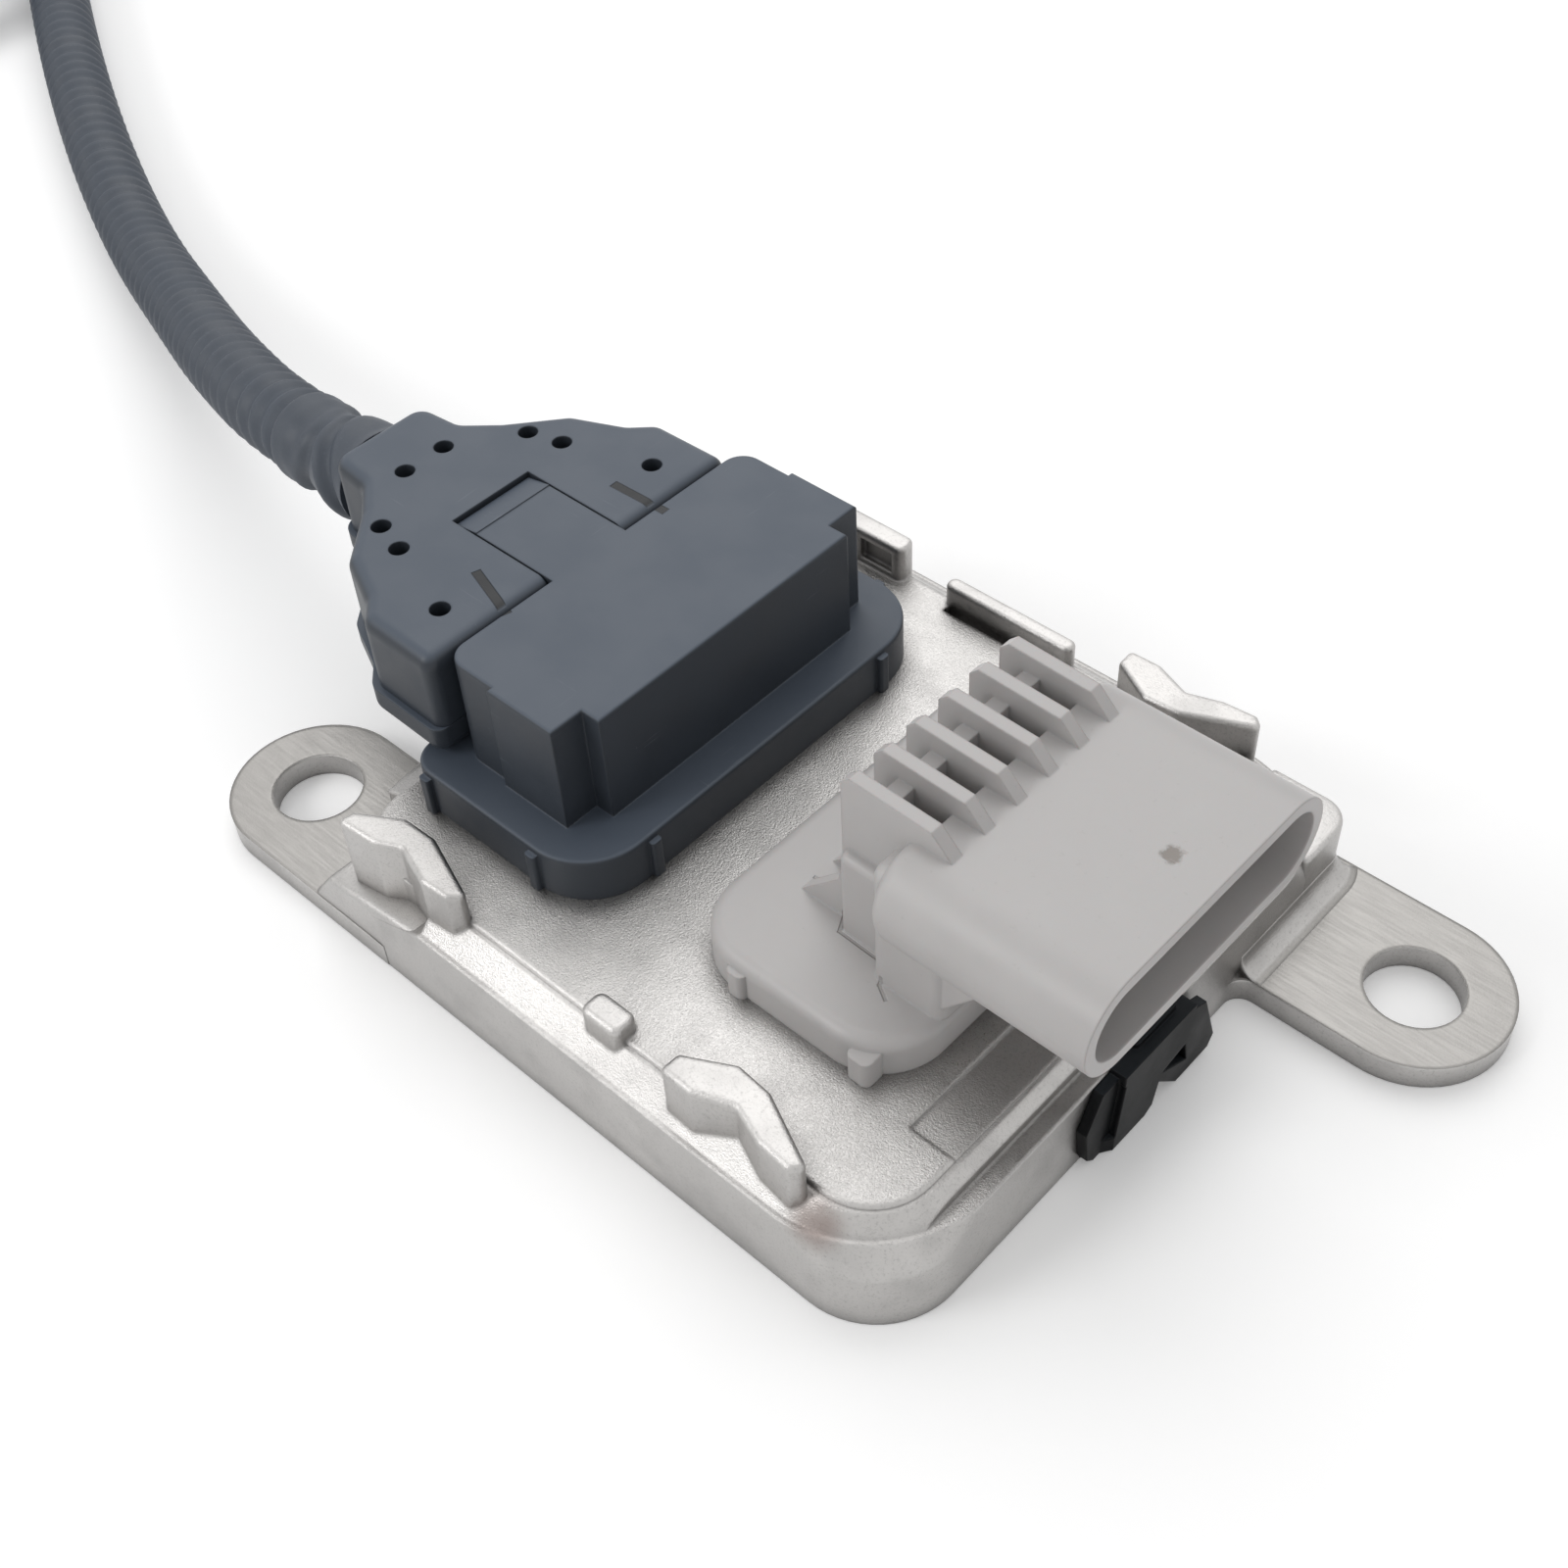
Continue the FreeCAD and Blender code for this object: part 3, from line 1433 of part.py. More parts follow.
def make_probe():
    """Pieces of the probe along +X: grommet, sleeve, hexagon body, gasket, shield and inner parts."""
    cord = conduit_diameter / 2
    neck_r = sleeve_neck_diameter / 2
    sleeve_r = sleeve_diameter / 2
    x_sleeve = grommet_proud
    x_neck_end = x_sleeve + sleeve_neck_length
    x_body = x_sleeve + sleeve_length
    x_hex_end = x_body + hex_length
    x_collar_end = x_hex_end + collar_length
    x_thread_end = x_collar_end + thread_length
    x_tip = x_thread_end + shield_length

    grommet = turned(
        [
            (-grommet_lip, cord + grommet_lip_wall),
            (0.0, cord + grommet_shoulder),
            (x_sleeve, neck_r - sleeve_wall + grommet_swell),
            (x_sleeve, neck_r - sleeve_wall),
            (x_neck_end, neck_r - sleeve_wall),
        ]
    )
    grommet = bored(grommet, cord + cord_fit, -grommet_lip - past, 0.0)

    x_crimp = x_sleeve + crimp_start
    x_crimp_end = x_crimp + 2 * crimp_slope + crimp_length
    sleeve = turned(
        [
            (x_sleeve, neck_r),
            (x_crimp, neck_r),
            (x_crimp + crimp_slope, neck_r - crimp_depth),
            (x_crimp_end - crimp_slope, neck_r - crimp_depth),
            (x_crimp_end, neck_r),
            (x_neck_end, neck_r),
            (x_neck_end + sleeve_flare, sleeve_r),
            (x_body, sleeve_r),
        ]
    )
    hollow = turned(
        [
            (x_sleeve - past, neck_r - sleeve_wall),
            (x_neck_end, neck_r - sleeve_wall),
            (x_neck_end + sleeve_flare, sleeve_r - sleeve_wall),
            (x_body + past, sleeve_r - sleeve_wall),
        ]
    )
    sleeve = sleeve.cut(hollow)
    grommet = grommet.cut(sleeve)

    body = hexagon(x_body, x_hex_end)
    collar = turned([(x_hex_end, collar_diameter / 2), (x_collar_end, collar_diameter / 2)])
    thread_r = thread_diameter / 2
    thread = turned(
        [
            (x_collar_end, thread_r - relief_depth),
            (x_collar_end + relief_length, thread_r - relief_depth),
            (x_collar_end + relief_length + relief_slope, thread_r),
            (x_thread_end - thread_lead, thread_r),
            (x_thread_end, thread_r - thread_lead),
        ]
    )
    boss = turned([(x_body - boss_length, sleeve_r - sleeve_wall), (x_body, sleeve_r - sleeve_wall)])
    body = body.fuse(collar).fuse(thread).fuse(boss)
    bore_r = inner_tube_diameter / 2 + boss_clearance
    x_seat = x_thread_end - shield_seat
    body = bored(body, bore_r, x_body - bore_depth, x_seat)
    body = bored(body, shield_diameter / 2, x_seat, x_thread_end + past)

    x_gasket_end = x_collar_end + gasket_thickness
    gasket_r = collar_diameter / 2 - gasket_inset
    gasket = turned([(x_collar_end, gasket_r), (x_gasket_end, gasket_r)])
    gasket = bored(gasket, thread_r - relief_depth, x_collar_end - past, x_gasket_end + past)

    shield_r = shield_diameter / 2
    shield = turned(
        [(x_seat, shield_r), (x_tip - shield_end_round, shield_r), (x_tip, shield_r - shield_end_round)]
    )
    shield = bored(shield, shield_r - shield_wall, x_seat - past, x_tip - 2 * shield_end_round)
    for i in range(shield_holes):
        place = V(x_tip - shield_hole_setback, 0, 0)
        hole = Part.makeCylinder(shield_hole / 2, shield_r + past, place, UP)
        hole.rotate(V(0, 0, 0), V(1, 0, 0), 360 * (i + 0.5) / shield_holes)
        shield = shield.cut(hole)
    shield = bored(shield, shield_tip_hole / 2, x_tip - shield_tip_thickness, x_tip + past)

    inner_r = inner_tube_diameter / 2
    inner = turned(
        [
            (x_seat, shield_r - shield_wall),
            (x_seat + inner_flange, shield_r - shield_wall),
            (x_seat + inner_flange, inner_r),
            (x_tip - inner_tip_gap, inner_r),
        ]
    )
    inner = bored(inner, inner_r - inner_wall, x_seat - past, x_tip - inner_floor)

    insulator = turned([(x_body - boss_length, bore_r), (x_seat, bore_r)])
    half_w = element_width / 2
    half_t = element_thickness / 2
    x_slot = x_body - boss_length - slot_margin
    slot = Part.makeBox(
        x_seat + slot_margin - x_slot, element_width, element_thickness, V(x_slot, -half_w, -half_t)
    )
    insulator = insulator.cut(slot)
    x_element = x_body - element_inside
    element_length = x_tip - element_tip_gap - x_element
    element = Part.makeBox(element_length, element_width, element_thickness, V(x_element, -half_w, -half_t))
    return {
        "probe_grommet": grommet,
        "probe_sleeve": sleeve,
        "probe_body": body,
        "probe_gasket": gasket,
        "probe_shield": shield,
        "probe_inner_tube": inner,
        "probe_insulator": insulator,
        "sensing_element": element,
    }


def hexagon(x0, x1):
    """Hexagon along X with a flat side down and its corners turned off at both ends."""
    r = hex_flats / math.sqrt(3)
    points = [
        V(x0, r * math.cos(math.radians(60 * i)), r * math.sin(math.radians(60 * i))) for i in range(6)
    ]
    bar = Part.Face(Part.makePolygon(points + points[:1])).extrude(V(x1 - x0, 0, 0))
    soft = (r - hex_flats / 2) * hex_chamfer_share
    envelope = turned([(x0, hex_flats / 2), (x0 + soft, r), (x1 - soft, r), (x1, hex_flats / 2)])
    return bar.common(envelope)


def main():
    nodes = {}
    nodes["housing"] = make_housing()
    nodes["base_plate"] = make_base_plate()
    nodes["base_seal"] = one_solid(seal_groove(seal_clearance))
    nodes["circuit_board"] = make_circuit_board()
    large_y = board_half_y - large_chip_margin - large_chip_half
    small_y = -board_half_y + small_chip_margin + small_chip_half
    nodes["microcontroller"] = make_chip(
        chip_x, large_y, large_chip_half, large_chip_height, large_chip_lead
    )
    nodes["power_chip"] = make_chip(
        chip_x, small_y, small_chip_half, small_chip_height, small_chip_lead
    )
    nodes["capacitor_1"] = make_capacitor(capacitor_x, board_half_y - capacitor_far_inset)
    nodes["capacitor_2"] = make_capacitor(capacitor_x, capacitor_near_inset - board_half_y)
    nodes["plug_header"] = make_plug_header()
    nodes["plug_seal"] = one_solid(plug_groove(seal_clearance))
    for i, blade in enumerate(blades()):
        nodes[f"terminal_{i + 1}"] = blade
    nodes["lead_header"] = make_lead_header()
    nodes["lead_seal"] = one_solid(lead_groove(seal_clearance))
    for i, contact in enumerate(contacts()):
        nodes[f"lead_contact_{i + 1}"] = contact
    nodes["lead_cover_top"], nodes["lead_cover_bottom"] = make_cover_halves()
    for i in range(contact_count):
        nodes[f"lead_wire_{i + 1}"] = make_wire(i)
    nodes["edge_clip"] = make_edge_clip()

    start = V(conduit_route[0])
    wrap_x = cover_end_x - cover_gap
    wrap = Part.makeCylinder(
        conduit_wrap_diameter / 2, conduit_wrap_length, V(wrap_x, start.y, start.z), V(-1, 0, 0)
    )
    coil = make_conduit_coil()
    tube, radii, length = rounded_tube(conduit_route, conduit_diameter / 2)
    report_tube("conduit", tube, radii, length, conduit_diameter / 2)
    nodes["conduit"] = one_solid(tube.cut(coil))
    nodes["conduit_wrap"] = one_solid(wrap.cut(tube))
    nodes["conduit_coil"] = coil
    end_tube, radii, length = rounded_tube(end_points(), conduit_diameter / 2)
    report_tube("conduit_end", end_tube, radii, length, conduit_diameter / 2)
    nodes["conduit_end"] = one_solid(end_tube.cut(coil))
    for name, solid in make_probe().items():
        nodes[name] = one_solid(placed(solid))

    os.makedirs("parts", exist_ok=True)
    for name, shape in nodes.items():
        shape.exportStep(f"parts/{name}.step")
        box = shape.BoundBox
        low = [round(v, 1) for v in (box.XMin, box.YMin, box.ZMin)]
        high = [round(v, 1) for v in (box.XMax, box.YMax, box.ZMax)]
        print(name, low, high, "valid" if shape.isValid() else "NOT VALID")


main()
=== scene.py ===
"""Looks of the nitrogen oxide sensor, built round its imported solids. Metres, in the solids' own frame."""
import json
import math

import bmesh
import bpy
from mathutils import Matrix, Vector, noise


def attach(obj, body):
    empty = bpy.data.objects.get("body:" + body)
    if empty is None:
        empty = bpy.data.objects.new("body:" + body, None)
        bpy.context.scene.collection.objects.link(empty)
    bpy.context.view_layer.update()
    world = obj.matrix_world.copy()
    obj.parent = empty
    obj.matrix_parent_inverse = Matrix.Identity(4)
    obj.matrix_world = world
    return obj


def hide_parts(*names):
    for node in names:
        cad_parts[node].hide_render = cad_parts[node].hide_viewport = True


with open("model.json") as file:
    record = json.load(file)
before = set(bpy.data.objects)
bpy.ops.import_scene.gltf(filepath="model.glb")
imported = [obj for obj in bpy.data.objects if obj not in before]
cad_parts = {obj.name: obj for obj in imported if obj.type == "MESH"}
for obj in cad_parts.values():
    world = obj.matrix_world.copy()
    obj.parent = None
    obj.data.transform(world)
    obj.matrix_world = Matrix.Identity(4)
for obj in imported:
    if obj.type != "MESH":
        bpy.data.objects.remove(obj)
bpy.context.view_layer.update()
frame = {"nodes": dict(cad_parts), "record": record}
nodes = frame["nodes"]
MM = 0.001

# Camera: where the photograph was taken from
CAMERA_PLACE = Vector((0.084219, -0.089066, 0.146550))
CAMERA_AZIMUTH = math.radians(45.302)
CAMERA_ELEVATION = math.radians(46.7186)
CAMERA_ROLL = math.radians(-3.7396)
CAMERA_LENS = 45.957
SENSOR_WIDTH = 36.0
CLIP_START = 0.005


def make_camera():
    """Camera at the photograph's place, turned by its azimuth, elevation and roll."""
    a, e = CAMERA_AZIMUTH, CAMERA_ELEVATION
    back = Vector((math.sin(a) * math.cos(e), -math.cos(a) * math.cos(e), math.sin(e)))
    right = (-back).cross(Vector((0, 0, 1))).normalized()
    down = (-back).cross(right)
    c, s = math.cos(CAMERA_ROLL), math.sin(CAMERA_ROLL)
    across = right * c - down * s
    upward = -(right * s + down * c)
    data = bpy.data.cameras.new("camera")
    data.lens = CAMERA_LENS
    data.sensor_width = SENSOR_WIDTH
    data.clip_start = CLIP_START
    camera = bpy.data.objects.new("camera", data)
    turn = Matrix((across, upward, back)).transposed().to_4x4()
    camera.matrix_world = Matrix.Translation(CAMERA_PLACE) @ turn
    bpy.context.scene.collection.objects.link(camera)
    bpy.context.scene.camera = camera


make_camera()

# Free conduit: the route's points, the coil's turns and the end's points, in millimetres
CONDUIT_DIAMETER = 9.2
ROUTE = [
    (-53.0, -1.7, 22.4),
    (-75.2, -1.2, 20.4),
    (-96.9, 5.0, 15.4),
    (-115.6, 12.0, 10.2),
    (-140.5, 20.8, 5.6),
    (-165.5, 31.2, 4.7),
    (-190.5, 43.2, 4.7),
    (-216.0, 56.8, 4.7),
    (-250.8, 76.6, 4.7),
]
COIL_RADIUS = 50.6
COIL_STEPS = 16
COIL_END = 262.0 + 360.0
CLIMB_FROM = 335.0
CLIMB_TO = 408.0
UPPER_Z = 13.95
END_ROUTE = [
    (-282.889, -17.508, 13.8),
    (-265.4, -19.4, 13.9),
    (-249.2, -22.2, 13.8),
    (-236.0, -24.1, 11.0),
    (-221.4, -26.1, 11.0),
]


def smooth(t):
    """Ease from 0 to 1."""
    t = max(0.0, min(1.0, t))
    return t * t * (3 - 2 * t)


def coil_points():
    """The coil's turns: points round its middle, climbing once onto the first turn."""
    last, before = Vector(ROUTE[-1]), Vector(ROUTE[-2])
    along = (last - before).normalized()
    left = Vector((-along.y, along.x, 0))
    middle = last + left * COIL_RADIUS
    start = math.degrees(math.atan2(-left.y, -left.x))
    step = 360.0 / COIL_STEPS
    reach = COIL_RADIUS / math.cos(math.radians(step / 2))
    count = round((COIL_END - start) / step)
    step = (COIL_END - start) / count
    points = []
    for i in range(count):
        angle = start + (i + 0.5) * step
        rise = smooth((angle - CLIMB_FROM) / (CLIMB_TO - CLIMB_FROM))
        a = math.radians(angle)
        z = last.z + rise * (UPPER_Z - last.z)
        points.append((middle.x + reach * math.cos(a), middle.y + reach * math.sin(a), z))
    return points


def cord_line():
    """Centre line of the conduit: one smooth spline with the route's points as its control points."""
    points = ROUTE + coil_points() + END_ROUTE
    curve = bpy.data.curves.new("conduit_line", "CURVE")
    curve.dimensions = "3D"
    curve.resolution_u = 24
    spline = curve.splines.new("NURBS")
    spline.points.add(len(points) - 1)
    for point, place in zip(spline.points, points):
        point.co = (*(Vector(place) * MM), 1.0)
    spline.order_u = 3
    spline.use_endpoint_u = True
    holder = bpy.data.objects.new("conduit_line", curve)
    bpy.context.scene.collection.objects.link(holder)
    mesh = bpy.data.meshes.new_from_object(holder)
    line = [v.co.copy() for v in mesh.vertices]
    bpy.data.objects.remove(holder)
    bpy.data.curves.remove(curve)
    bpy.data.meshes.remove(mesh)
    return line


def evenly(line, step):
    """Points a fixed distance apart along a line of many short runs, with their distances."""
    sums = [0.0]
    for a, b in zip(line, line[1:]):
        sums.append(sums[-1] + (b - a).length)
    count = int(sums[-1] / step)
    places = []
    j = 0
    for i in range(count + 1):
        want = sums[-1] * i / count
        while j < len(line) - 2 and sums[j + 1] < want:
            j += 1
        run = max(sums[j + 1] - sums[j], 1e-12)
        places.append((want, line[j].lerp(line[j + 1], (want - sums[j]) / run)))
    return places


def skin(mesh, rings):
    """Side faces between successive rings of corners, and a face over each end."""
    for low, high in zip(rings, rings[1:]):
        for k in range(len(low)):
            n = (k + 1) % len(low)
            mesh.faces.new((low[k], low[n], high[n], high[k]))
    mesh.faces.new(rings[0][::-1])
    mesh.faces.new(rings[-1])
    bmesh.ops.recalc_face_normals(mesh, faces=mesh.faces)


def add_piece(name, mesh):
    """Object for a finished mesh."""
    data = bpy.data.meshes.new(name)
    mesh.to_mesh(data)
    mesh.free()
    piece = bpy.data.objects.new(name, data)
    bpy.context.scene.collection.objects.link(piece)
    return piece


def tube(name, places, radius_at, sides):
    """Mesh tube along places, each (distance, point); radius_at gives the radius there and round the tube."""
    mesh = bmesh.new()
    rings = []
    across = None
    for i, (distance, point) in enumerate(places):
        before = places[max(i - 1, 0)][1]
        after = places[min(i + 1, len(places) - 1)][1]
        along = (after - before).normalized()
        if across is None:
            across = along.cross(Vector((0, 0, 1))).normalized()
        across = (across - along * across.dot(along)).normalized()
        other = along.cross(across)
        ring = []
        for k in range(sides):
            turn = 2 * math.pi * k / sides
            out = across * math.cos(turn) + other * math.sin(turn)
            ring.append(mesh.verts.new(point + out * radius_at(distance, turn)))
        rings.append(ring)
    skin(mesh, rings)
    for face in mesh.faces:
        face.smooth = len(face.verts) == 4
    return add_piece(name, mesh)


# Ribs of the conduit, the sleeve's two ends along it, and how slim it is under the sleeve
RIB_PITCH = 2.9 * MM
RIB_DEPTH = 0.6 * MM
STEPS_PER_RIB = 6
CONDUIT_SIDES = 28
COVER_END = 5.2 * MM
WRAP_END = 19.5 * MM
WRAP_STEP = 0.3 * MM
WRAP_SIDES = 40
UNDER_WRAP = 3.4 * MM
SWELL_BEFORE = 2.0 * MM
SWELL_LENGTH = 1.5 * MM


def conduit_radius(distance, turn):
    """Softly ribbed, and slimmer where the sleeve hides it."""
    wave = 0.5 - 0.5 * math.cos(2 * math.pi * distance / RIB_PITCH)
    ribbed = CONDUIT_DIAMETER / 2 * MM - RIB_DEPTH * (1 - wave)
    share = smooth((distance - WRAP_END + SWELL_BEFORE) / SWELL_LENGTH)
    return UNDER_WRAP + share * (ribbed - UNDER_WRAP)


line = cord_line()
conduit_places = evenly(line, RIB_PITCH / STEPS_PER_RIB)
conduit = tube("conduit_ribbed", conduit_places, conduit_radius, CONDUIT_SIDES)

# Sleeve, in millimetres: its radius along its length, then each crease's place, lean, phase and depth
SLEEVE = [(0.0, 5.5), (1.8, 5.2), (5.0, 5.2), (7.5, 4.7), (9.8, 4.4), (12.0, 4.9), (13.6, 5.0), (14.3, 4.7)]
CREASES = [(4.6, 2.6, -0.6, 0.75), (9.6, 2.0, 1.1, 0.55)]
CREASE_HALF = 0.8
FOLD_BESIDE = 1.5
FOLD_HALF = 1.0
FOLD_SHARE = 0.6
WRINKLE = 0.4
WRINKLE_ALONG = 0.16
WRINKLE_ROUND = 0.9


def wrap_radius(distance, turn):
    """Shrunk sleeve: wide at the cover, drawn in behind it, and creased aslant."""
    d = (distance - COVER_END) / MM
    for (d0, r0), (d1, r1) in zip(SLEEVE, SLEEVE[1:]):
        if d <= d1 or d1 == SLEEVE[-1][0]:
            radius = r0 + (r1 - r0) * smooth((d - d0) / (d1 - d0))
            break
    for at, lean, phase, depth in CREASES:
        off = d - at - lean * math.cos(turn - phase)
        fold = FOLD_SHARE * math.exp(-((off - FOLD_BESIDE) / FOLD_HALF) ** 2)
        radius += depth * (fold - math.exp(-(off / CREASE_HALF) ** 2))
    spot = Vector((d * WRINKLE_ALONG, math.cos(turn) * WRINKLE_ROUND, math.sin(turn) * WRINKLE_ROUND))
    return (radius + WRINKLE * noise.noise(spot)) * MM


wrap_places = [p for p in evenly(line, WRAP_STEP) if COVER_END <= p[0] <= WRAP_END]
wrap = tube("conduit_wrap_shrunk", wrap_places, wrap_radius, WRAP_SIDES)

for piece, stood_for in ((conduit, ("conduit", "conduit_coil", "conduit_end")), (wrap, ("conduit_wrap",))):
    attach(piece, "root")
    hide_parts(*stood_for)


# Angles between faces: shaded as one below the first, given a soft edge above the second
SMOOTH_UNDER = math.radians(40)
BEVEL_OVER = math.radians(35)


def placed_piece(name, mesh):
    """Smooth-shaded piece with crisp edges, on the sensor's one body."""
    for face in mesh.faces:
        face.smooth = True
    piece = add_piece(name, mesh)
    piece.data.set_sharp_from_angle(angle=SMOOTH_UNDER)
    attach(piece, "root")
    return piece


def prism(name, outline, axis, low, high, soft):
    """Closed prism over an outline, along Y (axis 1) or Z (axis 2), with softened edges; millimetres."""
    mesh = bmesh.new()
    rings = []
    for level in (low, high):
        ring = []
        for u, v in outline:
            place = (u, level, v) if axis == 1 else (u, v, level)
            ring.append(mesh.verts.new(Vector(place) * MM))
        rings.append(ring)
    skin(mesh, rings)
    sharp = [e for e in mesh.edges if e.calc_face_angle(0) > BEVEL_OVER]
    bmesh.ops.bevel(mesh, geom=sharp, offset=soft * MM, segments=3, profile=0.5, affect="EDGES")
    return placed_piece(name, mesh)


def swept(name, side, way):
    """Closed solid with one side view, its feet at places on the plan and turned outward by degrees."""
    mesh = bmesh.new()
    rings = []
    for (x, y), turn in way:
        a = math.radians(turn)
        ring = [Vector((x + u * math.cos(a), y + u * math.sin(a), v)) * MM for u, v in side]
        rings.append([mesh.verts.new(place) for place in ring])
    skin(mesh, rings)
    return placed_piece(name, mesh)


def arc(centre, radius, start, stop, steps):
    """Points of an arc, with its angles in degrees."""
    turns = [math.radians(start + (stop - start) * i / steps) for i in range(steps + 1)]
    return [(centre[0] + radius * math.cos(t), centre[1] + radius * math.sin(t)) for t in turns]


# Housing's half sizes and heights, in millimetres, and how far inside its walls the added solids stay
PLATE_X = 34.8
PLATE_Y = 33.0
RIM_Z = 9.4
EAR_TOP = 2.7
FOOT_Z = 0.1
INSIDE = 0.02

# Sloped fill at the lead's end, filled corner at the far ear, and the sweep from that corner to the ear
RAMP_TOE = -36.9
RAMP_HEEL = -18.5
RAMP_FAR_Y = -27.0
RAMP_EDGE = 0.5
RAMP = [
    (RAMP_TOE, FOOT_Z), (RAMP_TOE, EAR_TOP), (-33.3, 7.3),
    (RAMP_HEEL, RIM_Z - 0.05), (RAMP_HEEL, FOOT_Z),
]
POST_X = 26.0
POST_Y = 25.0
POST_RADIUS = 3.0
POST_EDGE = 0.4
FAIRING = 2.3
FAIRING_SUNK = 0.6
FAIRING_FROM = 15.4
FAIRING_TURN = 7.0
ARC_STEPS = 8

ramp = prism("lead_end_ramp", RAMP, 1, -PLATE_Y + INSIDE, RAMP_FAR_Y, RAMP_EDGE)

post_middle = (PLATE_X - POST_RADIUS, PLATE_Y - POST_RADIUS)
post_plan = [(POST_X, POST_Y), (PLATE_X - INSIDE, POST_Y)]
post_plan += arc(post_middle, POST_RADIUS - INSIDE, 0, 90, ARC_STEPS)
post_plan.append((POST_X, PLATE_Y - INSIDE))
post = prism("corner_post", post_plan, 2, FOOT_Z, RIM_Z + INSIDE, POST_EDGE)

fairing_back = POST_RADIUS - FAIRING_SUNK
fairing_side = [(fairing_back, EAR_TOP - FAIRING_SUNK), (POST_RADIUS + FAIRING, EAR_TOP - FAIRING_SUNK)]
fairing_side += arc((POST_RADIUS + FAIRING, EAR_TOP + FAIRING), FAIRING, 270, 180, ARC_STEPS)
fairing_side.append((fairing_back, EAR_TOP + FAIRING))
fairing_way = [((post_middle[0], FAIRING_FROM), 0.0)] + [(post_middle, FAIRING_TURN * i) for i in range(6)]
fairing = swept("ear_fairing", fairing_side, fairing_way)


# Materials

# Engraved lines, in millimetres: the soft edge beside them and the reach below the face they lie on
STROKE_FADE = 0.12
STROKE_DEPTH = 0.2


class Material:
    """A new node material with a few helpers to lay out its nodes."""

    def __init__(self, name):
        self.material = bpy.data.materials.new(name)
        self.material.use_nodes = True
        self.tree = self.material.node_tree
        self.shader = self.tree.nodes["Principled BSDF"]
        self.place = self.add("ShaderNodeTexCoord").outputs["Object"]

    def add(self, kind, **settings):
        node = self.tree.nodes.new(kind)
        for key, value in settings.items():
            setattr(node, key, value)
        return node

    def link(self, source, target):
        self.tree.links.new(source, target)

    def set(self, **values):
        for key, value in values.items():
            self.shader.inputs[key.replace("_", " ")].default_value = value

    def scaled(self, scale):
        """The place, stretched by a scale along each axis."""
        mapping = self.add("ShaderNodeMapping")
        mapping.inputs["Scale"].default_value = scale
        self.link(self.place, mapping.inputs["Vector"])
        return mapping.outputs["Vector"]

    def noise(self, size, detail=3.0, rough=0.55, place=None):
        """Noise whose features are about size metres across."""
        node = self.add("ShaderNodeTexNoise")
        node.inputs["Scale"].default_value = 1.0 / size
        node.inputs["Detail"].default_value = detail
        node.inputs["Roughness"].default_value = rough
        self.link(place or self.place, node.inputs["Vector"])
        return node.outputs["Fac"]

    def cells(self, size):
        """Distance from the middles of cells about size metres across."""
        node = self.add("ShaderNodeTexVoronoi")
        node.inputs["Scale"].default_value = 1.0 / size
        self.link(self.place, node.inputs["Vector"])
        return node.outputs["Distance"]

    def math(self, operation, a, b=None):
        """One sum on numbers or sockets."""
        node = self.add("ShaderNodeMath", operation=operation)
        for socket, value in zip(node.inputs, (a, b)):
            if value is None:
                continue
            if isinstance(value, (int, float)):
                socket.default_value = value
            else:
                self.link(value, socket)
        return node.outputs["Value"]

    def span(self, value, low, high, out_low=0.0, out_high=1.0):
        """A value between low and high brought to between out_low and out_high, smoothly."""
        node = self.add("ShaderNodeMapRange", interpolation_type="SMOOTHSTEP")
        self.link(value, node.inputs["Value"])
        node.inputs["From Min"].default_value = low
        node.inputs["From Max"].default_value = high
        node.inputs["To Min"].default_value = out_low
        node.inputs["To Max"].default_value = out_high
        return node.outputs["Result"]

    def rough(self, value, low, high):
        """Roughness from low to high over the usual spread of a noise."""
        return self.span(value, 0.3, 0.7, low, high)

    def mix(self, share, a, b):
        """Colour between a and b; each is a colour or a socket."""
        node = self.add("ShaderNodeMix", data_type="RGBA")
        self.link(share, node.inputs["Factor"])
        for socket, value in ((node.inputs[6], a), (node.inputs[7], b)):
            if isinstance(value, tuple):
                socket.default_value = (*value, 1.0)
            else:
                self.link(value, socket)
        return node.outputs[2]

    def blend(self, share, a, b):
        """Number between a and b."""
        node = self.add("ShaderNodeMix", data_type="FLOAT")
        self.link(share, node.inputs["Factor"])
        for socket, value in ((node.inputs[2], a), (node.inputs[3], b)):
            if isinstance(value, (int, float)):
                socket.default_value = value
            else:
                self.link(value, socket)
        return node.outputs[0]

    def axes(self):
        """The place's X, Y and Z."""
        node = self.add("ShaderNodeSeparateXYZ")
        self.link(self.place, node.inputs["Vector"])
        return node.outputs

    def facing_up(self):
        """How far a face looks up: 1 on a level top, 0 on a wall."""
        geometry = self.add("ShaderNodeNewGeometry")
        split = self.add("ShaderNodeSeparateXYZ")
        self.link(geometry.outputs["Normal"], split.inputs["Vector"])
        return split.outputs["Z"]

    def dot(self, vector, direction):
        """How far a vector reaches along a direction."""
        node = self.add("ShaderNodeVectorMath", operation="DOT_PRODUCT")
        self.link(vector, node.inputs[0])
        node.inputs[1].default_value = direction
        return node.outputs["Value"]

    def less(self, point):
        """The place, measured from a point."""
        node = self.add("ShaderNodeVectorMath", operation="SUBTRACT")
        self.link(self.place, node.inputs[0])
        node.inputs[1].default_value = point
        return node.outputs["Vector"]

    def distance(self, point):
        """How far the place is from a point."""
        node = self.add("ShaderNodeVectorMath", operation="DISTANCE")
        self.link(self.place, node.inputs[0])
        node.inputs[1].default_value = point
        return node.outputs["Value"]

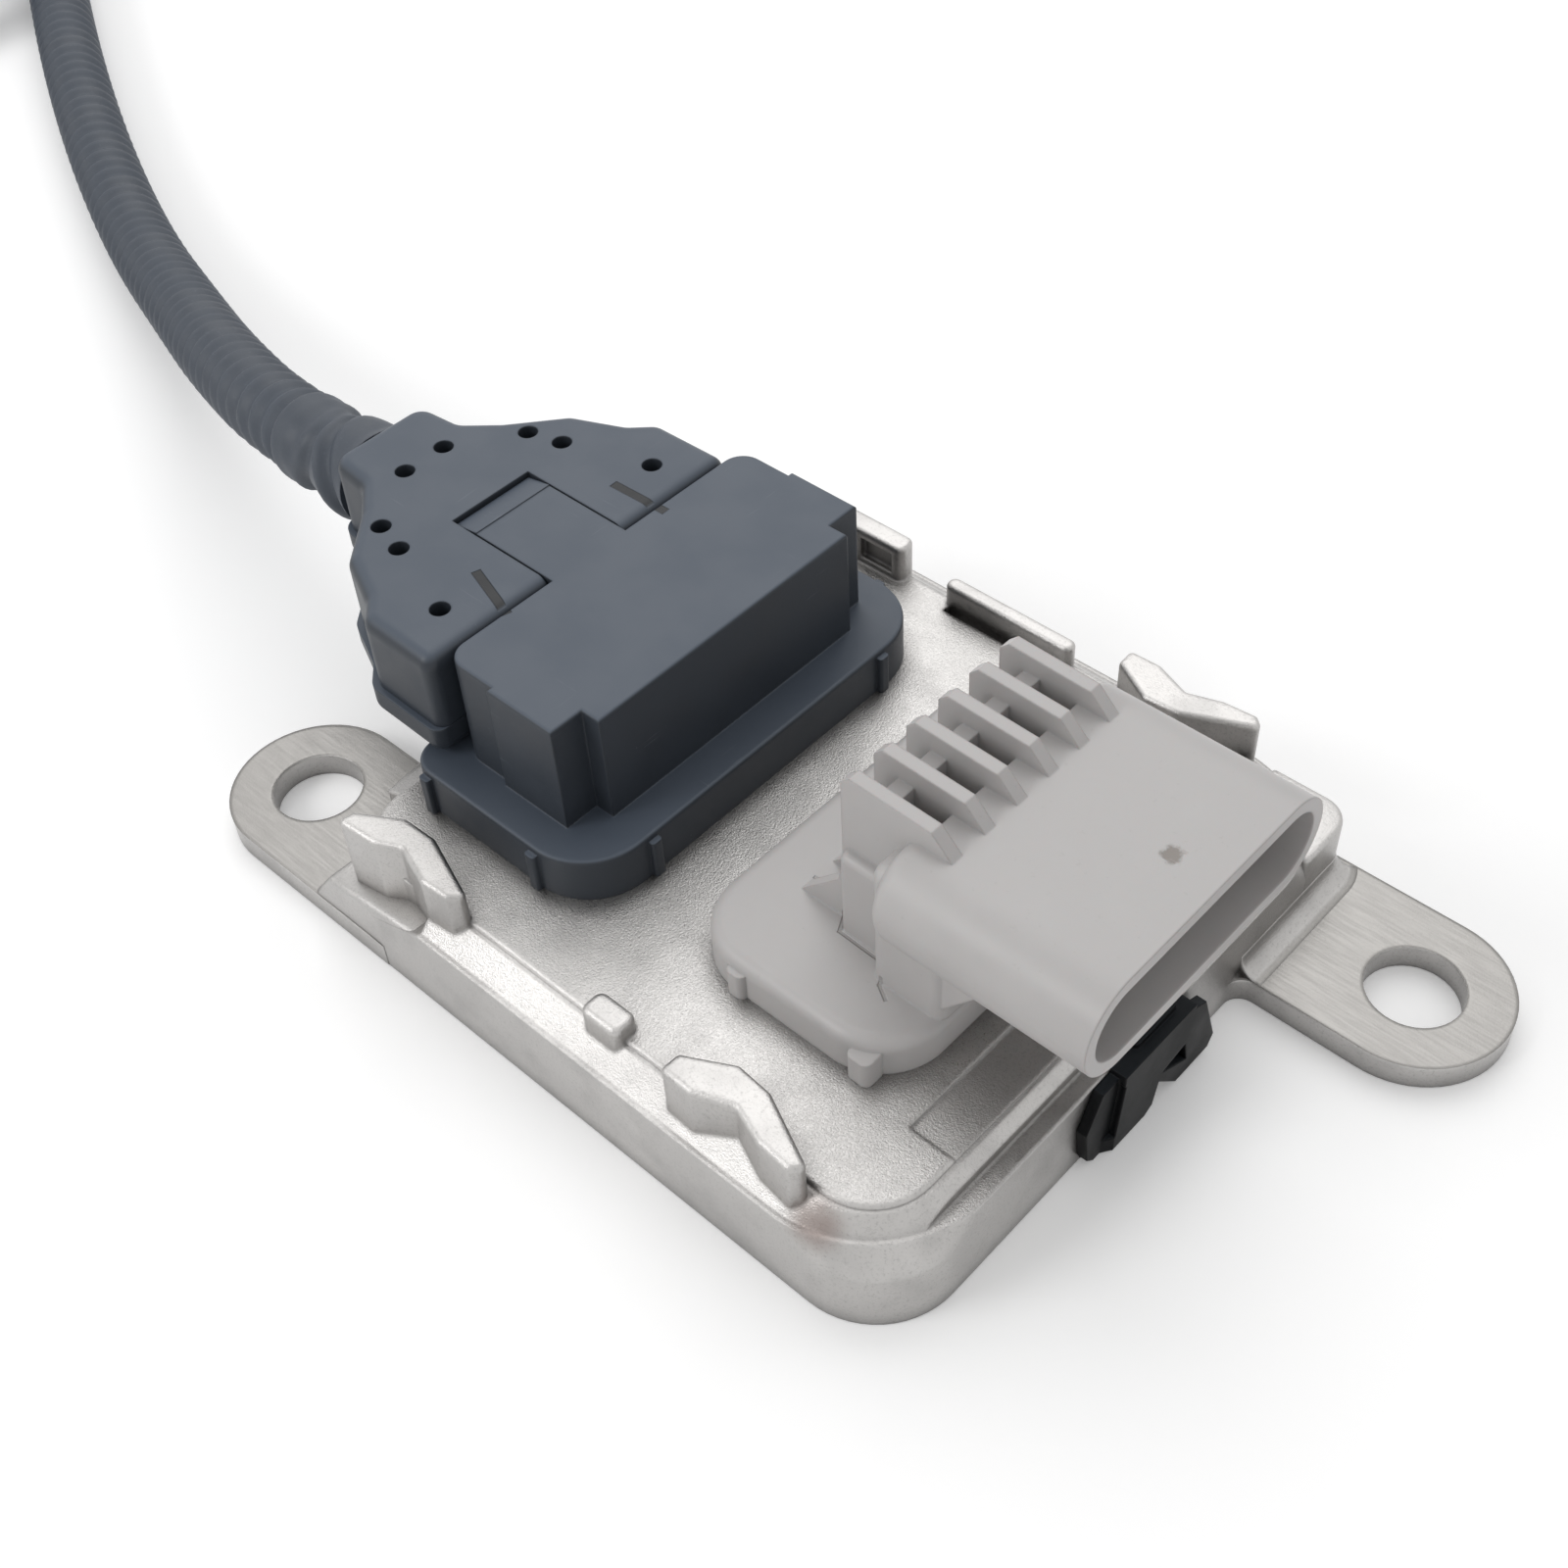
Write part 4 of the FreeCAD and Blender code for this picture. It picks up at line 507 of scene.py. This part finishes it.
    def strokes(self, corners, half, z):
        """Share of a narrow line drawn through corners on the plan, on faces above height z; millimetres."""
        share = None
        for (ax, ay), (bx, by) in zip(corners, corners[1:]):
            length = math.hypot(bx - ax, by - ay)
            u = ((bx - ax) / length, (by - ay) / length)
            out = self.less((ax * MM, ay * MM, 0))
            along = self.dot(out, (*u, 0))
            off = self.math("ABSOLUTE", self.dot(out, (-u[1], u[0], 0)))
            middle = self.math("ABSOLUTE", self.math("SUBTRACT", along, length / 2 * MM))
            past = self.math("SUBTRACT", middle, length / 2 * MM)
            part = self.span(self.math("MAXIMUM", off, past), (half + STROKE_FADE) * MM, half * MM)
            share = part if share is None else self.math("MAXIMUM", share, part)
        above = self.span(self.axes()["Z"], (z - STROKE_DEPTH) * MM, z * MM)
        return self.math("MULTIPLY", share, above)

    def bump(self, height, strength, distance, below=None):
        """Normal raised by a height, over the normal below."""
        node = self.add("ShaderNodeBump")
        node.inputs["Strength"].default_value = strength
        node.inputs["Distance"].default_value = distance
        self.link(height, node.inputs["Height"])
        if below is not None:
            self.link(below, node.inputs["Normal"])
        return node.outputs["Normal"]

    def open_sky(self, reach):
        """How freely a place is lit within reach: 1 on a plain face, less in corners."""
        node = self.add("ShaderNodeAmbientOcclusion", samples=8)
        node.inputs["Distance"].default_value = reach
        return node.outputs["AO"]

    def rounded(self, radius):
        """Normal of a surface whose edges are softened by radius."""
        node = self.add("ShaderNodeBevel", samples=6)
        node.inputs["Radius"].default_value = radius
        return node.outputs["Normal"]

    def finish(self, colour, roughness, normal):
        """Link what varies to the shader and give back the material."""
        for name, socket in (("Base Color", colour), ("Roughness", roughness), ("Normal", normal)):
            self.link(socket, self.shader.inputs[name])
        return self.material


def grey(hexadecimal):
    """Linear colour of a display colour."""
    values = [int(hexadecimal[i:i + 2], 16) / 255 for i in (0, 2, 4)]
    return tuple(v / 12.92 if v <= 0.04045 else ((v + 0.055) / 1.055) ** 2.4 for v in values)


# Heights that part the housing's faces, the brown stain's place, the reach of the painted shade in corners,
# and the edges' rounding
DECK_LOW = 11.9 * MM
DECK_HIGH = 12.1 * MM
EARS_HIGH = 2.9 * MM
STAIN_AT = (0.0262, -0.0312, 0.0098)
STAIN_CORE = 0.8 * MM
STAIN_REACH = 3.2 * MM
CORNER_REACH = 3.5 * MM
EDGE_ROUND = 0.55 * MM


def cast_metal():
    """Die-cast aluminium: grainy deck, fine-brushed ears, smooth walls and a brown stain at one hook; painted
    shade darkens the ears' up-facing tops and the corners where light reaches less.
    """
    m = Material("cast_aluminium")
    m.set(Metallic=1.0)
    axes = m.axes()
    up = m.span(m.facing_up(), 0.93, 0.99)
    high = m.span(axes["Z"], DECK_LOW - 0.5 * MM, DECK_LOW)
    below_top = m.span(axes["Z"], DECK_HIGH + 0.2 * MM, DECK_HIGH)
    deck = m.math("MULTIPLY", m.math("MULTIPLY", up, high), below_top)
    low = m.span(axes["Z"], EARS_HIGH + 0.3 * MM, EARS_HIGH)
    ears = m.math("MULTIPLY", up, low)
    grain = m.noise(0.13 * MM, 2.0, 0.7)
    pits = m.cells(0.2 * MM)
    flow = m.noise(14 * MM, 5.0, 0.6, m.scaled((1.0, 1.6, 1.0)))
    blotch = m.noise(5.5 * MM, 3.0, 0.5)
    brushed = m.noise(0.25 * MM, 3.0, 0.6, m.scaled((0.06, 1.0, 1.0)))
    colour = m.mix(flow, grey("A7A5A3"), grey("CAC8C6"))
    colour = m.mix(m.span(blotch, 0.45, 0.75, 0.0, 0.35), colour, grey("8E8C8B"))
    specks = m.noise(0.3 * MM, 3.0, 0.8)
    colour = m.mix(m.span(specks, 0.5, 0.72, 0.0, 0.45), colour, grey("868483"))
    # Painted shade: the ears' up-facing tops are darkened to tone down how bright the light makes them
    colour = m.mix(m.math("MULTIPLY", ears, 0.85), colour, grey("84827F"))
    # Painted shade: colour darkened in corners and recesses, where less light reaches
    colour = m.mix(m.span(m.open_sky(CORNER_REACH), 0.9, 0.35, 0.0, 0.6), colour, grey("5E5C5B"))
    near = m.span(m.distance(STAIN_AT), STAIN_REACH, STAIN_CORE)
    stain = m.math("MULTIPLY", near, m.span(blotch, 0.3, 0.6, 0.5, 1.0))
    colour = m.mix(m.math("MULTIPLY", stain, 0.6), colour, grey("83716A"))
    rough = m.rough(flow, 0.30, 0.42)
    rough = m.blend(deck, rough, m.rough(grain, 0.26, 0.52))
    rough = m.blend(ears, rough, m.rough(brushed, 0.28, 0.40))
    soft = m.bump(m.noise(2.6 * MM, 2.0, 0.5), 0.2, 0.12 * MM, m.rounded(EDGE_ROUND))
    strength = m.blend(ears, m.blend(deck, 0.7, 1.0), 0.2)
    height = m.math("MULTIPLY", m.math("ADD", grain, m.math("MULTIPLY", pits, 0.5)), strength)
    rippled = m.bump(height, 0.8, 0.05 * MM, soft)
    fine = m.bump(m.math("MULTIPLY", brushed, ears), 0.3, 0.03 * MM, rippled)
    return m.finish(colour, rough, fine)


# Engraved lines, in millimetres on the plan: two on the grey flange, two in the dark cover's top, each
# darkened as painted shade
GROOVE_1 = [(6.4, -9.0), (9.9, -8.8)]
GROOVE_2 = [(11.1, -10.6), (11.9, -12.1), (17.2, -12.3), (18.1, -14.2), (19.4, -15.0)]
SLOT_1 = [(-33.6, -9.7), (-27.9, -11.5)]
SLOT_2 = [(-33.0, 7.3), (-27.1, 7.5)]
# Half width of each kind of line, and the height that its face lies above
GROOVE_HALF = 0.1
GROOVE_Z = 16.0
FLANGE_HIGH = 16.6 * MM
SLOT_HALF = 0.4
SLOT_Z = 28.6

# Gate mark on the mouth's top, and how softly moulded edges turn
GATE_AT = (0.0345, 0.0010, 0.0312)
GATE_CORE = 1.3 * MM
GATE_REACH = 1.9 * MM
MOULDED_ROUND = 0.3 * MM


def grey_plastic():
    """Light warm grey moulding, a little mottled, with a dark gate mark on the mouth's top and painted shade
    along the two grooves in the flange.
    """
    m = Material("grey_plastic")
    m.set(IOR=1.5, Subsurface_Weight=0.06, Subsurface_Scale=0.0015)
    cloud = m.noise(9 * MM, 4.0, 0.6)
    speck = m.noise(0.7 * MM, 3.0, 0.7)
    colour = m.mix(cloud, grey("A9A6A5"), grey("B7B5B4"))
    colour = m.mix(m.span(speck, 0.62, 0.8, 0.0, 0.25), colour, grey("8F8B88"))
    ragged = m.math("ADD", m.distance(GATE_AT), m.math("MULTIPLY", m.noise(0.8 * MM, 3.0, 0.7), 1.6 * MM))
    mark = m.span(ragged, GATE_REACH, GATE_CORE)
    colour = m.mix(m.math("MULTIPLY", mark, 0.75), colour, grey("6E655C"))
    rough = m.rough(cloud, 0.38, 0.50)
    fine = m.bump(m.noise(0.22 * MM, 2.0, 0.6), 0.12, 0.03 * MM, m.rounded(MOULDED_ROUND))
    dent = m.bump(mark, 0.4, -0.15 * MM, fine)
    first = m.strokes(GROOVE_1, GROOVE_HALF, GROOVE_Z)
    second = m.strokes(GROOVE_2, GROOVE_HALF, GROOVE_Z)
    on_flange = m.span(m.axes()["Z"], FLANGE_HIGH + 0.3 * MM, FLANGE_HIGH)
    lines = m.math("MULTIPLY", m.math("MAXIMUM", first, second), on_flange)
    # Painted shade: the grooves' lines are darkened where shade falls in them; the bump below sinks them
    colour = m.mix(m.math("MULTIPLY", lines, 0.35), colour, grey("6E6A67"))
    return m.finish(colour, rough, m.bump(lines, 0.6, -0.25 * MM, dent))


def moulded(name, dark, light, paler, gloss, low_rough, high_rough, grain):
    """Dark moulded plastic: faint clouding, painted light making upward faces paler, fine grain, hair-thin
    scuffs and painted shade in the cover's two slots.
    """
    m = Material(name)
    m.set(IOR=1.5, Specular_IOR_Level=gloss)
    cloud = m.noise(7 * MM, 4.0, 0.6)
    colour = m.mix(cloud, grey(dark), grey(light))
    # Painted light: upward faces turn paler, as the light from above makes them
    colour = m.mix(m.span(m.facing_up(), 0.5, 0.95), colour, grey(paler))
    scuffs = m.noise(0.3 * MM, 2.0, 0.5, m.scaled((1.0, 0.04, 1.0)))
    more = m.noise(0.3 * MM, 2.0, 0.5, m.scaled((0.05, 1.0, 1.0)))
    hairs = m.math("MAXIMUM", m.span(scuffs, 0.70, 0.80), m.span(more, 0.70, 0.80))
    patchy = m.math("MULTIPLY", hairs, m.span(m.noise(6 * MM, 2.0, 0.5), 0.5, 0.7))
    colour = m.mix(m.math("MULTIPLY", patchy, 0.25), colour, grey("8A9099"))
    lines = m.math("MAXIMUM", m.strokes(SLOT_1, SLOT_HALF, SLOT_Z), m.strokes(SLOT_2, SLOT_HALF, SLOT_Z))
    # Painted shade: the cover's two slots are drawn near black, standing for the shade inside them
    colour = m.mix(lines, colour, grey("15171A"))
    rough = m.rough(cloud, low_rough, high_rough)
    fine = m.bump(m.noise(grain, 2.0, 0.6), 0.2, 0.03 * MM, m.rounded(MOULDED_ROUND))
    return m.finish(colour, rough, m.bump(lines, 0.7, -0.4 * MM, fine))


def sheath():
    """Conduit: matt sheath with a patchy dusty cast."""
    m = Material("conduit_rubber")
    m.set(IOR=1.5)
    cloud = m.noise(6 * MM, 4.0, 0.6)
    colour = m.mix(cloud, grey("343A43"), grey("444B55"))
    paler = m.span(m.noise(0.6 * MM, 4.0, 0.7), 0.55, 0.8, 0.0, 0.3)
    colour = m.mix(paler, colour, grey("5C636D"))
    rough = m.rough(cloud, 0.48, 0.62)
    fine = m.bump(m.noise(0.3 * MM, 3.0, 0.6), 0.3, 0.05 * MM)
    return m.finish(colour, rough, fine)


def metal(name, dark, light, low_rough, high_rough, stretch):
    """Bare metal with fine turning or drawing marks."""
    m = Material(name)
    m.set(Metallic=1.0)
    marks = m.noise(0.3 * MM, 3.0, 0.6, m.scaled(stretch))
    cloud = m.noise(6 * MM, 3.0, 0.5)
    colour = m.mix(cloud, grey(dark), grey(light))
    rough = m.rough(marks, low_rough, high_rough)
    return m.finish(colour, rough, m.bump(marks, 0.2, 0.02 * MM))


# Probe's axis, and the thread along it from the grommet's end
PROBE_AT = (-0.2214, -0.0261, 0.011)
PROBE_WAY = (0.990268, -0.139173, 0.0)
THREAD_FROM = 55.3 * MM
THREAD_TO = 63.0 * MM
THREAD_PITCH = 1.5 * MM
THREAD_DEPTH = 1.6 * MM
THREAD_FADE = 0.2 * MM


def probe_metal(name, dark, light, low_rough, high_rough):
    """Turned steel of the probe, with the thread cut round its nose end."""
    m = Material(name)
    m.set(Metallic=1.0)
    out = m.less(PROBE_AT)
    along = m.dot(out, PROBE_WAY)
    aside = m.dot(out, (-PROBE_WAY[1], PROBE_WAY[0], 0.0))
    above = m.dot(out, (0.0, 0.0, 1.0))
    turn = m.math("DIVIDE", m.math("ARCTAN2", above, aside), 2 * math.pi)
    phase = m.math("ADD", m.math("DIVIDE", along, THREAD_PITCH), turn)
    crest = m.math("PINGPONG", phase, 0.5)
    first = m.span(along, THREAD_FROM, THREAD_FROM + THREAD_FADE)
    last = m.span(along, THREAD_TO, THREAD_TO - THREAD_FADE)
    thread = m.math("MULTIPLY", crest, m.math("MULTIPLY", first, last))
    marks = m.noise(0.3 * MM, 3.0, 0.6, m.scaled((1.0, 0.08, 0.08)))
    colour = m.mix(m.noise(6 * MM, 3.0, 0.5), grey(dark), grey(light))
    rough = m.rough(marks, low_rough, high_rough)
    return m.finish(colour, rough, m.bump(thread, 1.0, THREAD_DEPTH, m.bump(marks, 0.2, 0.02 * MM)))


def speckled(name, dark, light, low_rough, high_rough):
    """Board laminate, ceramic or wire sheath: two near colours in a fine mottle."""
    m = Material(name)
    mottle = m.noise(0.6 * MM, 4.0, 0.65)
    colour = m.mix(mottle, grey(dark), grey(light))
    rough = m.rough(mottle, low_rough, high_rough)
    return m.finish(colour, rough, m.bump(mottle, 0.15, 0.03 * MM))


materials = {
    "cast_aluminium": cast_metal(),
    "grey_plastic": grey_plastic(),
    "dark_plastic": moulded("dark_plastic", "2A2E34", "343A42", "4A525D", 0.35, 0.40, 0.50, 0.25 * MM),
    "clip_plastic": moulded("clip_plastic", "0B0C0D", "121315", "24272A", 0.08, 0.34, 0.46, 0.25 * MM),
    "conduit_rubber": sheath(),
    "seal_rubber": moulded("seal_rubber", "1E2023", "2A2D31", "2A2D31", 0.4, 0.55, 0.68, 0.3 * MM),
    "board_plastic": speckled("board_plastic", "184A31", "25694A", 0.38, 0.5),
    "capacitor_can": metal("capacitor_can", "9E9E9B", "C4C4C1", 0.25, 0.38, (1.0, 1.0, 0.1)),
    "tinned_contact": metal("tinned_contact", "B9B6AC", "D8D5CC", 0.22, 0.34, (0.1, 1.0, 1.0)),
    "wire_sheath": speckled("wire_sheath", "C2C2BC", "D6D6D0", 0.42, 0.52),
    "probe_steel": probe_metal("probe_steel", "8F8E8A", "B9B7B2", 0.24, 0.38),
    "ceramic": speckled("ceramic", "DAD6CB", "EFECE3", 0.5, 0.6),
}
slots = {row["node"]: row["material_slot"] for row in frame["record"]["subparts"]}


def dress(piece, slot):
    """Give a piece its slot's material."""
    piece.data.materials.clear()
    piece.data.materials.append(materials[slot])


for name, node in nodes.items():
    dress(node, slots[name])
for piece in (conduit, wrap):
    dress(piece, "conduit_rubber")
for piece in (ramp, post, fairing):
    dress(piece, "cast_aluminium")


# Floor and light

FLOOR_HALF = 3.0
FLOOR_Z = -0.0001
FLOOR_GLOW = 0.14
SKY_LIGHT = 0.62
LIGHT_TARGET = (0, 0, 0.01)


def make_floor():
    """Pale floor, a little lifted where it is seen or mirrored, that keeps the sensor's shadow."""
    mesh = bpy.data.meshes.new("floor")
    corners = [(x * FLOOR_HALF, y * FLOOR_HALF, 0) for x, y in ((-1, -1), (1, -1), (1, 1), (-1, 1))]
    mesh.from_pydata(corners, [], [(0, 1, 2, 3)])
    floor = bpy.data.objects.new("floor", mesh)
    bpy.context.scene.collection.objects.link(floor)
    floor.location.z = FLOOR_Z
    m = Material("floor")
    m.set(Base_Color=(0.93, 0.93, 0.93, 1.0), Roughness=0.9, Specular_IOR_Level=0.2)
    m.set(Emission_Color=(1.0, 1.0, 1.0, 1.0))
    path = m.add("ShaderNodeLightPath")
    seen = m.math("MAXIMUM", path.outputs["Is Camera Ray"], path.outputs["Is Glossy Ray"])
    m.link(m.math("MULTIPLY", seen, FLOOR_GLOW), m.shader.inputs["Emission Strength"])
    mesh.materials.append(m.material)


def make_light(name, place, size, power):
    """Soft round lamp turned to the sensor."""
    data = bpy.data.lights.new(name, "AREA")
    data.shape = "DISK"
    data.size = size
    data.energy = power
    light = bpy.data.objects.new(name, data)
    light.location = place
    light.rotation_mode = "QUATERNION"
    light.rotation_quaternion = (Vector(LIGHT_TARGET) - Vector(place)).to_track_quat("-Z", "Y")
    bpy.context.scene.collection.objects.link(light)


def make_world():
    """White to the eye and in what shines; softer where it only lights."""
    world = bpy.data.worlds.new("studio")
    bpy.context.scene.world = world
    world.use_nodes = True
    tree = world.node_tree
    background = tree.nodes["Background"]
    background.inputs["Color"].default_value = (1.0, 1.0, 1.0, 1.0)
    path = tree.nodes.new("ShaderNodeLightPath")
    seen = path.outputs["Is Camera Ray"]
    for kind in ("Is Glossy Ray", "Is Transmission Ray"):
        either = tree.nodes.new("ShaderNodeMath")
        either.operation = "MAXIMUM"
        tree.links.new(seen, either.inputs[0])
        tree.links.new(path.outputs[kind], either.inputs[1])
        seen = either.outputs["Value"]
    level = tree.nodes.new("ShaderNodeMapRange")
    level.inputs["To Min"].default_value = SKY_LIGHT
    level.inputs["To Max"].default_value = 1.0
    tree.links.new(seen, level.inputs["Value"])
    tree.links.new(level.outputs["Result"], background.inputs["Strength"])


make_floor()
make_world()
make_light("key", (-0.36, 0.43, 0.80), 1.0, 3.6)
make_light("front", (-0.38, -0.64, 0.54), 0.4, 2.2)
bpy.context.scene.view_settings.view_transform = "Standard"
